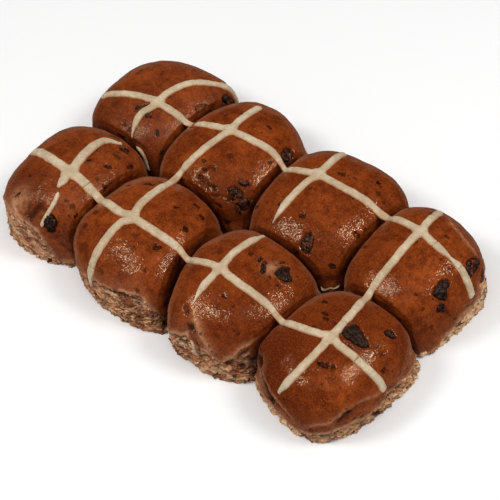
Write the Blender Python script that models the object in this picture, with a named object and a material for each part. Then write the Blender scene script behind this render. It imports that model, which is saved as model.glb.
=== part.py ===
"""A tray-baked slab of eight chocolate hot cross buns, in two rows of four.

The buns rose into each other in the tin, so each one is a dome that is pressed flat where it meets
its neighbours and round where it is free. A flour paste cross is piped over every bun, and the
largest lumps of chocolate sit in pockets of the crust. Units here are millimetres until the meshes
are made. +X runs along the rows, +Y from the front row to the back row, and the slab stands on Z = 0.
"""

import math

import bmesh
import bpy
import numpy as np

MM = 0.001

# Where the buns meet along X, where the rows meet, and the slab's free faces.
FRONT_SEAMS_X = (-144.5, -74.5, -1.5, 75.5, 144.5)
BACK_SEAMS_X = (-145.5, -74.5, -2.0, 74.0, 143.5)
ROW_SEAM_Y = (6.0, -1.0, -1.0, -1.0)
FRONT_FACE_Y = (-80.0, -83.0, -82.0, -82.0)
BACK_FACE_Y = (85.0, 84.0, 83.0, 79.0)

# The crown of each bun: its place, and its height above the tray.
CROWNS = {
    "front_1": (-102.0, -38.0, 47.0),
    "front_2": (-40.0, -42.0, 48.0),
    "front_3": (30.5, -42.0, 47.5),
    "front_4": (108.0, -41.0, 45.5),
    "back_1": (-102.0, 42.0, 45.0),
    "back_2": (-42.0, 41.0, 47.0),
    "back_3": (32.0, 43.0, 46.5),
    "back_4": (104.0, 43.0, 47.0),
}

# The dome: level of its widest outline, how square its plan is, and how full its profile is.
WIDEST_Z = 18.0
PLAN_POWER = 2.5
PROFILE_POWER = 2.37
PRESSED_OVER = 5.7  # how far the dome would have spread past a seam
CREASE_RADIUS = 3.0
SEAM_GAP = 0.15

# Below its widest outline a bun gets squarer towards the tray, most of all between neighbours.
FOOT_POWER = 2.7
FOOT_POWER_PER_SEAM = 1.15
FOOT_TUCK = 0.03
SIDE_SPAN = 0.3  # plan distance, in outline radii, that stands for the side wall

# Dough that crept while the slab rose: centre, shift and radius of each push.
PUSHES = (
    ((-72.0, 78.0), (6.0, 3.0), 22.0),
    ((150.0, 85.0), (-4.0, -5.0), 26.0),
    ((0.0, -80.0), (7.0, -3.0), 18.0),
    ((75.0, -80.0), (-7.0, 2.0), 18.0),
    ((-72.0, -80.0), (-2.5, 4.0), 16.0),
    ((-148.0, 2.0), (-4.0, 1.0), 20.0),
)

# Unevenness of the risen dough: waves round the outline, and slow swells over the dome.
OUTLINE_WAVE = 0.012
OUTLINE_WAVES = ((3.0, 1.0, 1.0), (5.0, -2.0, 0.6))  # waves per turn, share of the phase, share of the size
SWELL_HEIGHT = 0.5
SWELL_X = 11.0
SWELL_Y = 13.0
PHASE_STEP = 1.7  # from one bun, or lump of chocolate, to the next

# Mesh density.
BUN_SEGMENTS = 28
DOME_RINGS = 9
SIDE_RINGS = 4
ARM_STATIONS = 5
CHIP_SEGMENTS = 9
CHIP_RINGS = 4

# Piped paste.
PASTE_HALF_WIDTH = 3.0
PASTE_BED = 0.7
PASTE_EDGE = 1.3
PASTE_CROWN = 1.9
PASTE_BRIDGE = 2.2  # how far short of a seam the paste leaves the crust and bridges the crease
PASTE_SEAM_GAP = 0.3
TIP_TAPER = 0.55

# Each cross: its centre, then its left, right, front and back arms as (middle, end), measured in
# plan from the bun's crown. An arm that ends in "seam" runs on to the neighbour.
CROSSES = {
    "front_1": (
        (3, -2),
        ((-17, -1), (-35, 2)),
        ((17, -1), "seam"),
        ((7, -16), (10, -29)),
        ((-2, 20), "seam"),
    ),
    "front_2": (
        (-2, -3),
        ((-16, -4), "seam"),
        ((14, -3), "seam"),
        ((-6, -20), (-6, -37)),
        ((-3, 18), "seam"),
    ),
    "front_3": (
        (-4, 0),
        ((-17, 1), "seam"),
        ((17, -1), "seam"),
        ((-6, -14), (-4, -27)),
        ((-6, 18), "seam"),
    ),
    "front_4": (
        (1, -1),
        ((-13, -4), "seam"),
        ((19, -2), (34, -1)),
        ((0, -20), (-3, -37)),
        ((-1, 16), "seam"),
    ),
    "back_1": (
        (4, -7),
        ((-17, -12), (-33, -19)),
        ((15, -6), "seam"),
        ((1, -18), (5, -31)),
        ((9, 17), (18, 31)),
    ),
    "back_2": (
        (-1, 2),
        ((-16, -1), "seam"),
        ((18, 5), "seam"),
        ((-6, -18), "seam"),
        ((-2, 18), (-6, 34)),
    ),
    "back_3": (
        (-7, 4),
        ((-19, 1), "seam"),
        ((13, 5), "seam"),
        ((-11, -15), (-10, -33)),
        ((-8, 17), (-7, 32)),
    ),
    "back_4": (
        (-2, 4),
        ((-16, 7), "seam"),
        ((17, 3), (34, -1)),
        ((-1, -18), "seam"),
        ((-2, 18), (-3, 32)),
    ),
}
ARM_DIRECTIONS = ((-1, 0), (1, 0), (0, -1), (0, 1))

# Lumps of chocolate: bun, place in plan from its crown, length, width, and turn in degrees.
CHIPS = (
    ("front_4", 12.0, 8.0, 16.0, 9.0, -8.0),
    ("front_3", 27.0, 21.0, 10.0, 9.0, 30.0),
    ("front_1", 15.0, -36.5, 9.0, 9.0, 0.0),
    ("back_1", 25.0, 26.0, 7.0, 6.0, 40.0),
    ("back_2", 33.0, 12.0, 7.0, 6.0, 90.0),
    ("back_2", 29.0, -29.0, 8.0, 5.0, -10.0),
    ("back_3", 18.0, -37.0, 9.0, 7.0, -50.0),
    ("back_4", 30.0, -18.0, 12.0, 8.0, 70.0),
    ("back_4", 32.0, 12.0, 11.0, 8.0, 80.0),
    ("front_4", 23.0, 24.0, 7.0, 5.0, 10.0),
)
CHIP_DEPTH = 5.0
CHIP_SUNK = 1.4
CHIP_CORNERS = 0.14
CHIP_FLATNESS = 0.7  # under 1, its top and bottom are flatter than an ellipsoid's
POCKET_GAP = 0.3

CRUST_COLOUR = (0.18, 0.034, 0.008, 1.0)
PASTE_COLOUR = (0.58, 0.44, 0.27, 1.0)
CHOCOLATE_COLOUR = (0.022, 0.011, 0.008, 1.0)


def clear_scene():
    for old in list(bpy.data.objects):
        bpy.data.objects.remove(old, do_unlink=True)


def make_material(name, colour, roughness):
    material = bpy.data.materials.new(name)
    material.use_nodes = True
    shader = material.node_tree.nodes["Principled BSDF"]
    shader.inputs["Base Color"].default_value = colour
    shader.inputs["Roughness"].default_value = roughness
    shader.inputs["Metallic"].default_value = 0.0
    return material


def bun_plans():
    """Each bun's plan box, crown and joined sides, worked out from the seams."""
    plans = {}
    for row, seams in (("front", FRONT_SEAMS_X), ("back", BACK_SEAMS_X)):
        for column in range(4):
            name = f"{row}_{column + 1}"
            crown_x, crown_y, height = CROWNS[name]
            if row == "front":
                near, far = FRONT_FACE_Y[column], ROW_SEAM_Y[column]
            else:
                near, far = ROW_SEAM_Y[column], BACK_FACE_Y[column]
            plans[name] = {
                "low": (seams[column], near),
                "high": (seams[column + 1], far),
                "crown": (crown_x, crown_y),
                "height": height,
                "joined_low": (column > 0, row == "back"),
                "joined_high": (column < 3, row == "front"),
                "phase": PHASE_STEP * len(plans),
            }
    return plans


def soft_limit(value, limit):
    """value, eased into limit within one crease radius of it, and never past it."""
    past = np.maximum((value - limit) / CREASE_RADIUS + 1.0, 0.0)
    return np.where(past > 0.0, limit - CREASE_RADIUS * np.exp(-past), value)


def press(plan, x, y):
    """Presses plan positions flat against the seams that the bun shares with its neighbours."""
    pressed = []
    for axis, value in enumerate((x, y)):
        if plan["joined_high"][axis]:
            value = soft_limit(value, plan["high"][axis] - SEAM_GAP)
        if plan["joined_low"][axis]:
            value = -soft_limit(-value, -(plan["low"][axis] + SEAM_GAP))
        pressed.append(value)
    return pressed


def push(points):
    """Shifts points sideways by the smooth bump of each entry in PUSHES."""
    shifted = points.copy()
    for centre, shift, radius in PUSHES:
        offset = points[..., :2] - np.array(centre)
        weight = np.exp(-(offset**2).sum(-1) / (2.0 * radius**2))
        shifted[..., :2] += weight[..., None] * np.array(shift)
    return shifted


def reach(plan, axis, signed):
    """Distance from the crown to the dome's unpressed outline, on the side that signed points to."""
    crown = plan["crown"][axis]
    up = plan["high"][axis] - crown + PRESSED_OVER * plan["joined_high"][axis]
    down = crown - plan["low"][axis] + PRESSED_OVER * plan["joined_low"][axis]
    return np.where(signed > 0.0, up, down)


def bun_surface(plan, px, py):
    """Crust over the plan offset (px, py) from the crown, before any push.

    With q the superelliptic distance from the crown (1 on the widest outline), the dome is
    z = widest + rise * (1 - q^p)^(1/p). Past q = 1 the offset runs down the side wall, whose plan
    is a superellipse that gets squarer towards the tray.
    """
    reach_x, reach_y = reach(plan, 0, px), reach(plan, 1, py)
    ux, uy = np.abs(px / reach_x), np.abs(py / reach_y)
    q = (ux**PLAN_POWER + uy**PLAN_POWER) ** (1.0 / PLAN_POWER)
    q = np.maximum(q, 1e-6)
    angle = np.arctan2(py, px)
    down = np.clip((q - 1.0) / SIDE_SPAN, 0.0, 1.0)
    seams = np.where(px > 0, plan["joined_high"][0], plan["joined_low"][0]).astype(float)
    seams = seams + np.where(py > 0, plan["joined_high"][1], plan["joined_low"][1])
    foot = FOOT_POWER + FOOT_POWER_PER_SEAM * seams
    power = PLAN_POWER + (foot - PLAN_POWER) * down * down * (3.0 - 2.0 * down)
    spread = np.maximum(ux**power + uy**power, 1e-12)
    outline = spread ** (-1.0 / power) * (1.0 - FOOT_TUCK * down**2)
    scale = np.where(q > 1.0, outline, 1.0)
    phase = plan["phase"]
    wave = sum(share * np.sin(count * angle + turn * phase) for count, turn, share in OUTLINE_WAVES)
    inside = np.minimum(q, 1.0)
    scale = scale * (1.0 + OUTLINE_WAVE * wave * inside**2)
    rise = plan["height"] - WIDEST_Z
    z = WIDEST_Z + rise * (1.0 - inside**PROFILE_POWER) ** (1.0 / PROFILE_POWER)
    swell = np.sin(px / SWELL_X + phase) * np.sin(py / SWELL_Y - phase)
    z = z + SWELL_HEIGHT * swell * (1.0 - inside**2) * inside
    z = z - WIDEST_Z * down
    x, y = press(plan, plan["crown"][0] + px * scale, plan["crown"][1] + py * scale)
    return np.stack([x, y, z], -1)


def surface_normal(plan, px, py):
    """Outward unit normal of bun_surface, from central differences over half a millimetre."""
    step = 0.25
    along_x = bun_surface(plan, px + step, py) - bun_surface(plan, px - step, py)
    along_y = bun_surface(plan, px, py + step) - bun_surface(plan, px, py - step)
    normal = np.cross(along_x, along_y)
    return normal / np.linalg.norm(normal, axis=-1, keepdims=True)


def make_object(name, points, faces, material):
    """Makes one mesh object from points in millimetres, with its faces turned outwards."""
    mesh = bpy.data.meshes.new(name)
    mesh.from_pydata((points * MM).tolist(), [], faces)
    mesh.materials.append(material)
    body = bmesh.new()
    body.from_mesh(mesh)
    bmesh.ops.recalc_face_normals(body, faces=body.faces)
    body.to_mesh(mesh)
    body.free()
    mesh.shade_smooth()
    made = bpy.data.objects.new(name, mesh)
    bpy.context.scene.collection.objects.link(made)
    return made


def ring_faces(rings, segments):
    """Quads between stacked rings of points, the first ring's points starting at index 0."""
    faces = []
    for ring in range(rings - 1):
        for k in range(segments):
            after = (k + 1) % segments
            low, high = ring * segments, (ring + 1) * segments
            faces.append((low + k, high + k, high + after, low + after))
    return faces


def close_ends(faces, rings, segments, top, bottom):
    """Adds triangle fans from the point indices top and bottom to the first and last rings."""
    last = (rings - 1) * segments
    for k in range(segments):
        after = (k + 1) % segments
        faces.append((top, k, after))
        faces.append((bottom, last + after, last + k))


def make_bun(name, plan, material):
    """Rings of bun_surface from crown to tray, closed by a flat underside."""
    dome = np.sin(0.5 * math.pi * np.arange(1, DOME_RINGS + 1) / DOME_RINGS) ** (2.0 / PROFILE_POWER)
    side = 1.0 + SIDE_SPAN * np.arange(1, SIDE_RINGS + 1) / SIDE_RINGS
    turn = 2.0 * math.pi * np.arange(BUN_SEGMENTS) / BUN_SEGMENTS
    cos, sin = np.cos(turn), np.sin(turn)
    ux, uy = np.abs(cos / reach(plan, 0, cos)), np.abs(sin / reach(plan, 1, sin))
    outline = (ux**PLAN_POWER + uy**PLAN_POWER) ** (-1.0 / PLAN_POWER)
    rings = [bun_surface(plan, outline * cos * q, outline * sin * q) for q in (*dome, *side)]
    rings[-1][:, 2] = 0.0
    zero = np.zeros(1)
    crown = bun_surface(plan, zero, zero)
    underside = rings[-1].mean(0, keepdims=True)
    points = push(np.concatenate([*rings, crown, underside]))
    faces = ring_faces(len(rings), BUN_SEGMENTS)
    close_ends(faces, len(rings), BUN_SEGMENTS, len(points) - 2, len(points) - 1)
    return make_object(name, points, faces, material)


def arm_end(plan, direction, middle, end):
    """The arm's last point on the crust, in plan from the crown, and the seam it runs on to, if any."""
    if end != "seam":
        return np.array(end, float), None
    axis = 0 if direction[0] else 1
    sign = direction[axis]
    seam = plan["high"][axis] if sign > 0 else plan["low"][axis]
    stop = np.array(middle, float)
    stop[axis] = seam - plan["crown"][axis] - sign * PASTE_BRIDGE
    return stop, (axis, seam - sign * PASTE_SEAM_GAP)


def arm_rows(plan, centre, direction, middle, end):
    """Rows of the arm, each of three places across it: crust point and normal, bed to seam.

    The arm's middle line is a quadratic curve from the edge of the cross's centre square, through
    the middle point, to its end.
    """
    along = np.array(direction, float)
    across = np.array((-along[1], along[0]))
    start = np.array(centre, float) + along * PASTE_HALF_WIDTH
    stop, seam = arm_end(plan, direction, middle, end)
    control = 2.0 * np.array(middle, float) - 0.5 * (start + stop)
    rows = []
    for k in range(1, ARM_STATIONS + 1):
        t = k / ARM_STATIONS
        place = (1 - t) ** 2 * start + 2 * t * (1 - t) * control + t**2 * stop
        narrow = 1.0 if seam else 1.0 - (1.0 - TIP_TAPER) * t**4
        px = np.array([place[0] + s * across[0] * PASTE_HALF_WIDTH * narrow for s in (-1, 0, 1)])
        py = np.array([place[1] + s * across[1] * PASTE_HALF_WIDTH * narrow for s in (-1, 0, 1)])
        rows.append((bun_surface(plan, px, py), surface_normal(plan, px, py)))
    if seam:
        bridge = rows[-1][0].copy()
        bridge[:, seam[0]] = seam[1]
        upright = np.zeros_like(bridge)
        upright[:, 2] = 1.0
        rows.append((bridge, upright))
    return rows


def make_cross(name, plan, cross, material):
    """A plus-shaped strip on the crust: three points across each arm, raised in the middle.

    The centre is a square of three by three points. Each arm starts from one side of it, so the
    top, the bed and the wall between them make one closed body.
    """
    centre, arms = cross[0], cross[1:]
    points, normals, lifts = [], [], []
    grid = {}

    def add(point, normal, lift):
        points.append(point)
        normals.append(normal)
        lifts.append(lift)
        return len(points) - 1

    for i in (-1, 0, 1):
        for j in (-1, 0, 1):
            px = np.array([centre[0] + i * PASTE_HALF_WIDTH], float)
            py = np.array([centre[1] + j * PASTE_HALF_WIDTH], float)
            corner = bool(i and j)
            lift = PASTE_EDGE if corner else PASTE_CROWN
            grid[i, j] = add(bun_surface(plan, px, py)[0], surface_normal(plan, px, py)[0], lift)
    quads = []
    for i in (-1, 0):
        for j in (-1, 0):
            quads.append((grid[i, j], grid[i + 1, j], grid[i + 1, j + 1], grid[i, j + 1]))
    for direction, (middle, end) in zip(ARM_DIRECTIONS, arms):
        dx, dy = direction
        before = [grid[dx - s * dy, dy + s * dx] for s in (-1, 0, 1)]
        for surface, normal in arm_rows(plan, centre, direction, middle, end):
            row = [add(surface[k], normal[k], PASTE_CROWN if k == 1 else PASTE_EDGE) for k in range(3)]
            quads.append((before[0], row[0], row[1], before[1]))
            quads.append((before[1], row[1], row[2], before[2]))
            before = row
    points, normals = np.array(points), np.array(normals)
    top = points + normals * np.array(lifts)[:, None]
    bed = points + normals * PASTE_BED
    count = len(points)
    faces = list(quads) + [tuple(k + count for k in reversed(quad)) for quad in quads]
    edges = {(quad[k], quad[(k + 1) % 4]) for quad in quads for k in range(4)}
    for a, b in sorted(edges):
        if (b, a) not in edges:
            faces.append((b, a, a + count, b + count))
    return make_object(name, push(np.concatenate([top, bed])), faces, material)


def chip_shape(length, width, depth, phase):
    """A lump of chocolate: an ellipsoid whose outline is pulled out into three blunt corners."""
    rings = []
    for ring in range(1, CHIP_RINGS + 1):
        tilt = math.pi * ring / (CHIP_RINGS + 1)
        turn = 2.0 * math.pi * np.arange(CHIP_SEGMENTS) / CHIP_SEGMENTS
        corners = 1.0 + CHIP_CORNERS * np.sin(3.0 * turn + phase) * math.sin(tilt)
        flat = math.sin(tilt) ** CHIP_FLATNESS
        level = np.full(CHIP_SEGMENTS, depth / 2.0 * math.cos(tilt))
        along = length / 2.0 * flat * corners * np.cos(turn)
        across = width / 2.0 * flat * corners * np.sin(turn)
        rings.append(np.stack([along, across, level], -1))
    poles = np.array([[0.0, 0.0, depth / 2.0], [0.0, 0.0, -depth / 2.0]])
    return np.concatenate(rings + [poles])


def place_on_crust(plan, shape, px, py, turn):
    """Turns a shape in its own plane, and sinks it in the crust at the plan offset (px, py)."""
    at_x, at_y = np.array([px]), np.array([py])
    normal = surface_normal(plan, at_x, at_y)[0]
    heading = np.array([math.cos(math.radians(turn)), math.sin(math.radians(turn)), 0.0])
    along = heading - normal * heading.dot(normal)
    along /= np.linalg.norm(along)
    across = np.cross(normal, along)
    centre = bun_surface(plan, at_x, at_y)[0] - normal * CHIP_SUNK
    return centre + shape @ np.stack([along, across, normal])


def make_chip(index, plans, buns, chip, material):
    """One lump of chocolate, and the pocket that holds it clear of its bun."""
    bun, px, py, length, width, turn = chip
    plan = plans[bun]
    faces = ring_faces(CHIP_RINGS, CHIP_SEGMENTS)
    top = CHIP_RINGS * CHIP_SEGMENTS
    close_ends(faces, CHIP_RINGS, CHIP_SEGMENTS, top, top + 1)
    phase = PHASE_STEP * index
    lump = chip_shape(length, width, CHIP_DEPTH, phase)
    lump = push(place_on_crust(plan, lump, px, py, turn))
    make_object(f"chip_{index:02d}", lump, faces, material)
    grown = 2.0 * POCKET_GAP
    pocket = chip_shape(length + grown, width + grown, CHIP_DEPTH + grown, phase)
    pocket = push(place_on_crust(plan, pocket, px, py, turn))
    cutter = make_object(f"pocket_{index:02d}", pocket, faces, material)
    cutter.hide_render = True
    cutter.display_type = "WIRE"
    cut = buns[bun].modifiers.new(cutter.name, "BOOLEAN")
    cut.operation = "DIFFERENCE"
    cut.object = cutter


def centre_on_box():
    """Moves every mesh so that the slab's box is centred over the origin."""
    shown = [o for o in bpy.data.objects if not o.hide_render]
    corners = np.array([v.co[:] for o in shown for v in o.data.vertices])
    middle = (corners.min(0) + corners.max(0)) / 2.0
    for piece in bpy.data.objects:
        for vertex in piece.data.vertices:
            vertex.co.x -= middle[0]
            vertex.co.y -= middle[1]


def build():
    clear_scene()
    crust = make_material("crust", CRUST_COLOUR, 0.35)
    paste = make_material("cross_paste", PASTE_COLOUR, 0.8)
    chocolate = make_material("chocolate", CHOCOLATE_COLOUR, 0.45)
    plans = bun_plans()
    buns = {name: make_bun(f"bun_{name}", plan, crust) for name, plan in plans.items()}
    for name, plan in plans.items():
        make_cross(f"cross_{name}", plan, CROSSES[name], paste)
    for index, chip in enumerate(CHIPS, 1):
        make_chip(index, plans, buns, chip, chocolate)
    centre_on_box()


build()
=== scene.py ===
"""Looks of a tray-baked slab of eight chocolate hot cross buns.

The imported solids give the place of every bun, cross and lump. Each bun is made again as a fine skin
over the same kind of dome, with its torn crumb, folds and pits, and each cross as piped paste that
lies on that skin. Lengths are millimetres until a mesh is made. A plan offset is measured from a
bun's crown, along X and Y. A place on a bun's side is a direction from the crown in degrees, where
0 is +X and 90 is +Y, and a height.
"""

import math

import bpy
import numpy as np
from mathutils import Matrix, Vector


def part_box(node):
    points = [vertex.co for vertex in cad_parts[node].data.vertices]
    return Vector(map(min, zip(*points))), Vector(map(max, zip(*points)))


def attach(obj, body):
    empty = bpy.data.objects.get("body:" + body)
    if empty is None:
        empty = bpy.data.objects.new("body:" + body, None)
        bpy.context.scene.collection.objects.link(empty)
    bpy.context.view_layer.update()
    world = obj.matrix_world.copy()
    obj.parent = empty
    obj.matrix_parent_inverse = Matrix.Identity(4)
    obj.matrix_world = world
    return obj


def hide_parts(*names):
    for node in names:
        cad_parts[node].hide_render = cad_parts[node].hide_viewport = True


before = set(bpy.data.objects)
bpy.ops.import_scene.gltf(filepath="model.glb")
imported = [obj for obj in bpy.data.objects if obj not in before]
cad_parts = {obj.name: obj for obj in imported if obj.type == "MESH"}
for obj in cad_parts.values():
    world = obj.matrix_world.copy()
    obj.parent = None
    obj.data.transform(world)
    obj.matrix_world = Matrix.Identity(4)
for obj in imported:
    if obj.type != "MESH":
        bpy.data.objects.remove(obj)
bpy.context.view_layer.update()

MM = 0.001
SLAB = "root"
BUNS = tuple(f"{row}_{column}" for row in ("front", "back") for column in (1, 2, 3, 4))

# The dome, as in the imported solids.
WIDEST_Z = 18.0
PLAN_POWER = 2.5
PROFILE_POWER = 2.37
PRESSED_OVER = 5.7
CREASE_RADIUS = 3.0
FOOT_POWER = 2.7
FOOT_POWER_PER_SEAM = 1.15
FOOT_TUCK = 0.03
SIDE_SPAN = 0.3
OUTLINE_WAVE = 0.012
OUTLINE_WAVES = ((3.0, 1.0, 1.0), (5.0, -2.0, 0.6))
SWELL_HEIGHT = 0.5
SWELL_X = 11.0
SWELL_Y = 13.0
PHASE_STEP = 1.7
# Where the slab is squeezed sideways: centre in the slab's plan, shift there and radius.
PUSHES = (
    ((-72.0, 78.0), (6.0, 3.0), 22.0),
    ((150.0, 85.0), (-4.0, -5.0), 26.0),
    ((0.0, -80.0), (7.0, -3.0), 18.0),
    ((75.0, -80.0), (-7.0, 2.0), 18.0),
    ((-72.0, -80.0), (-2.5, 4.0), 16.0),
    ((-148.0, 2.0), (-4.0, 1.0), 20.0),
    ((-1.0, -70.0), (3.0, 0.0), 18.0),
    ((-10.0, 82.0), (-3.0, -1.0), 16.0),
    ((66.0, 80.0), (2.5, 2.5), 18.0),
)
# The same, but only near the tray, where corners are rounder: full at the tray, none at the widest.
FOOT_PUSHES = (
    ((-70.0, -82.0), (4.0, 2.5), 14.0),
    ((6.0, -84.0), (1.0, 5.0), 16.0),
    ((78.0, -84.0), (3.0, 4.0), 14.0),
    ((148.0, -62.0), (-4.0, 1.0), 18.0),
    ((148.0, 12.0), (-1.5, 0.0), 14.0),
)
# Fuller shoulders: plan offset, radius and height.
SWELLS = {
    "front_3": ((30.0, -22.0, 9.0, 1.6),),
    "front_4": ((8.0, -38.0, 10.0, 2.6), (34.0, -20.0, 9.0, 2.4)),
    "back_4": ((34.0, -30.0, 10.0, 3.0),),
    "back_2": ((8.0, -36.0, 9.0, 1.2), (-8.0, 33.0, 10.0, -2.0), (25.0, 33.0, 9.0, -1.5)),
}
PLAN_ROUNDS = 6  # how often a dome's plan is eased to fill its solid's box
PLAN_DIRECTIONS = 361
SLOPE_STEP = 0.25

# Height of the crust's torn lower edge round each bun, as places on its side. Below it is crumb.
CRUST_EDGES = {
    "front_1": (
        (-180, 20), (-150, 23), (-125, 28), (-108, 30), (-90, 29), (-77, 26), (-70, 15), (-66, 3),
        (90, 4), (150, 12),
    ),
    "front_2": (
        (-140, 8), (-128, 12), (-114, 19), (-96, 24), (-77, 26), (-59, 29), (-49, 27), (-44, 19),
        (-39, 9), (-30, 4),
    ),
    "front_3": (
        (-140, 8), (-122, 20), (-106, 25), (-88, 29), (-78, 21), (-64, 23), (-52, 16), (-42, 20),
        (-31, 22), (-24, 8),
    ),
    "front_4": (
        (-150, 8), (-126, 10), (-110, 9), (-95, 7), (-80, 6), (-62, 9), (-50, 12), (-42, 14), (-31, 13),
        (-22, 12), (-9, 11), (-1, 12), (3, 17), (14, 15), (26, 13), (35, 10), (44, 10), (60, 8),
    ),
    "back_1": ((-170, 12), (-130, 5), (40, 6), (70, 17), (100, 14), (130, 20), (165, 16)),
    "back_2": ((-40, 5), (50, 8), (70, 18), (90, 15), (112, 21), (130, 10)),
    "back_3": ((-40, 5), (45, 12), (66, 16), (90, 21), (115, 15), (132, 8)),
    "back_4": ((-50, 1), (-26, 8), (-12, 12), (12, 15), (30, 21), (60, 14), (90, 17), (120, 12)),
}
# Furrows and ridges in the dough: how far the skin sinks there (below 0 it is raised), half its
# width, and the places on the side that it runs through.
# The material darkens furrows with painted shade and lightens ridges with a painted highlight.
FOLDS = {
    "front_1": (
        (1.7, 3.0, ((-80, 42), (-86, 38), (-90, 34), (-94, 31))),
        (0.9, 1.2, ((-97, 40), (-95, 36), (-98, 32))),
        (-0.8, 1.4, ((-120, 37), (-112, 34), (-104, 31.5), (-97, 31))),
        (0.6, 0.9, ((-62, 22), (-57, 15), (-50, 9))),
        (-0.5, 0.9, ((-66, 7), (-58, 5), (-50, 7))),
        (0.7, 0.8, ((-88, 26), (-80, 21), (-74, 17))),
        (0.6, 0.8, ((-104, 24), (-96, 19), (-86, 14))),
    ),
    "front_2": (
        (1.5, 1.1, ((-76, 27), (-68, 26.5), (-59, 24.5))),
        (1.3, 0.9, ((-57, 28.5), (-51, 27.5))),
        (1.3, 0.9, ((-58, 23), (-52, 19.5))),
        (1.4, 1.2, ((-49, 14), (-45, 8.5))),
        (0.8, 0.8, ((-48, 15.5), (-43, 15))),
        (0.3, 0.8, ((-121, 40), (-110, 35), (-98, 30))),
        (0.9, 1.0, ((-92, 25), (-88, 25.5))),
    ),
    "front_3": (
        (1.4, 1.3, ((-109, 40), (-102, 40), (-95, 38))),
        (1.9, 2.0, ((-91, 35.5), (-86, 33), (-84, 31))),
        (1.4, 1.1, ((-85, 36), (-79, 31))),
        (1.1, 0.9, ((-77, 28), (-73, 24), (-70, 18))),
        (-1.0, 2.2, ((-93, 40), (-84, 38.5), (-76, 36), (-70, 32), (-63, 28), (-59, 23), (-57, 16))),
        (-1.0, 1.1, ((-108, 26), (-100, 24.5), (-92, 24.5), (-86, 27))),
        (-1.3, 1.0, ((-52, 17), (-46, 20.5), (-42, 22), (-36, 27), (-29, 29.5), (-23, 30.5))),
        (1.3, 0.9, ((-48, 16.5), (-42, 18.5), (-36, 23), (-29, 26))),
        (2.4, 2.0, ((-29, 17), (-26, 13))),
        (1.8, 1.2, ((-48, 13), (-46, 15.5))),
        (1.8, 1.4, ((-41, 12), (-37, 13.5))),
        (-0.9, 1.2, ((-51, 7), (-44, 4), (-37, 6))),
    ),
    "front_4": (
        (4.8, 3.1, ((-114, 24), (-110, 19.5), (-106, 16), (-101, 14.5))),
        (-0.8, 0.9, ((-122, 27), (-118, 23), (-114, 18), (-111, 13))),
        (0.9, 0.7, ((-119, 27), (-115, 21), (-112, 16))),
        (1.4, 0.9, ((-106, 14.5), (-101, 14), (-96, 15.5), (-91, 15), (-85, 13))),
        (-1.0, 1.1, ((-117, 29), (-108, 25.5), (-102, 23), (-96, 21), (-91, 18.5), (-86, 16), (-80, 11))),
        (-0.7, 0.9, ((-120, 9), (-113, 9), (-108, 7.5), (-101, 8))),
        (3.0, 3.4, ((-133, 31), (-130, 26), (-127, 21))),
        (-0.7, 1.1, ((-73, 10), (-67, 15), (-60, 18.5), (-55, 19.5), (-49, 22), (-40, 25.5), (-32, 26))),
        (-0.5, 0.9, ((-36, 26), (-22, 26), (-8, 23.5), (4, 22))),
        (1.6, 1.1, ((-48, 18.5), (-43, 20.5), (-37, 23))),
        (1.5, 1.0, ((1, 12), (10, 9.5), (21, 8.5), (30, 7.5))),
        (1.1, 0.9, ((3, 23), (11, 18.5), (19, 15))),
        (-0.6, 0.9, ((-64, 7.5), (-50, 12), (-42, 14), (-31, 12.5), (-20, 12))),
        (1.0, 0.8, ((-60, 5), (-50, 8), (-42, 9.5))),
    ),
    "back_1": (
        (1.0, 1.1, ((8, 37), (14, 39.5), (22, 39.5), (27, 37))),
        (0.8, 1.2, ((-60, 30), (-72, 34), (-86, 33))),
        (2.0, 2.2, ((43, 34), (48, 33), (50, 31))),
    ),
    "back_2": (
        (0.9, 1.0, ((-84, 40), (-78, 42.5), (-70, 43.5), (-64, 42.5))),
        (1.2, 1.3, ((-80, 38), (-72, 39), (-65, 37))),
        (1.1, 0.9, ((-55, 35), (-49, 34.5), (-45, 32.5))),
        (0.9, 0.9, ((-68, 35), (-60, 35), (-56, 36.5))),
        (1.6, 1.4, ((-47, 31), (-42, 28), (-40, 24))),
    ),
    "back_3": ((0.7, 1.0, ((-120, 34), (-112, 30), (-104, 31))),),
    "back_4": (
        (0.8, 1.1, ((-36, 30), (-30, 24), (-26, 17))),
        (0.9, 1.0, ((-12, 20), (-2, 16), (8, 17))),
        (-0.6, 1.1, ((-20, 13), (-8, 15), (6, 16), (18, 20))),
        (0.7, 0.9, ((20, 34), (30, 32), (38, 34))),
        (-0.8, 1.1, ((98, 37), (69, 42), (43, 41), (35, 37), (31, 30))),
    ),
}
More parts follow.
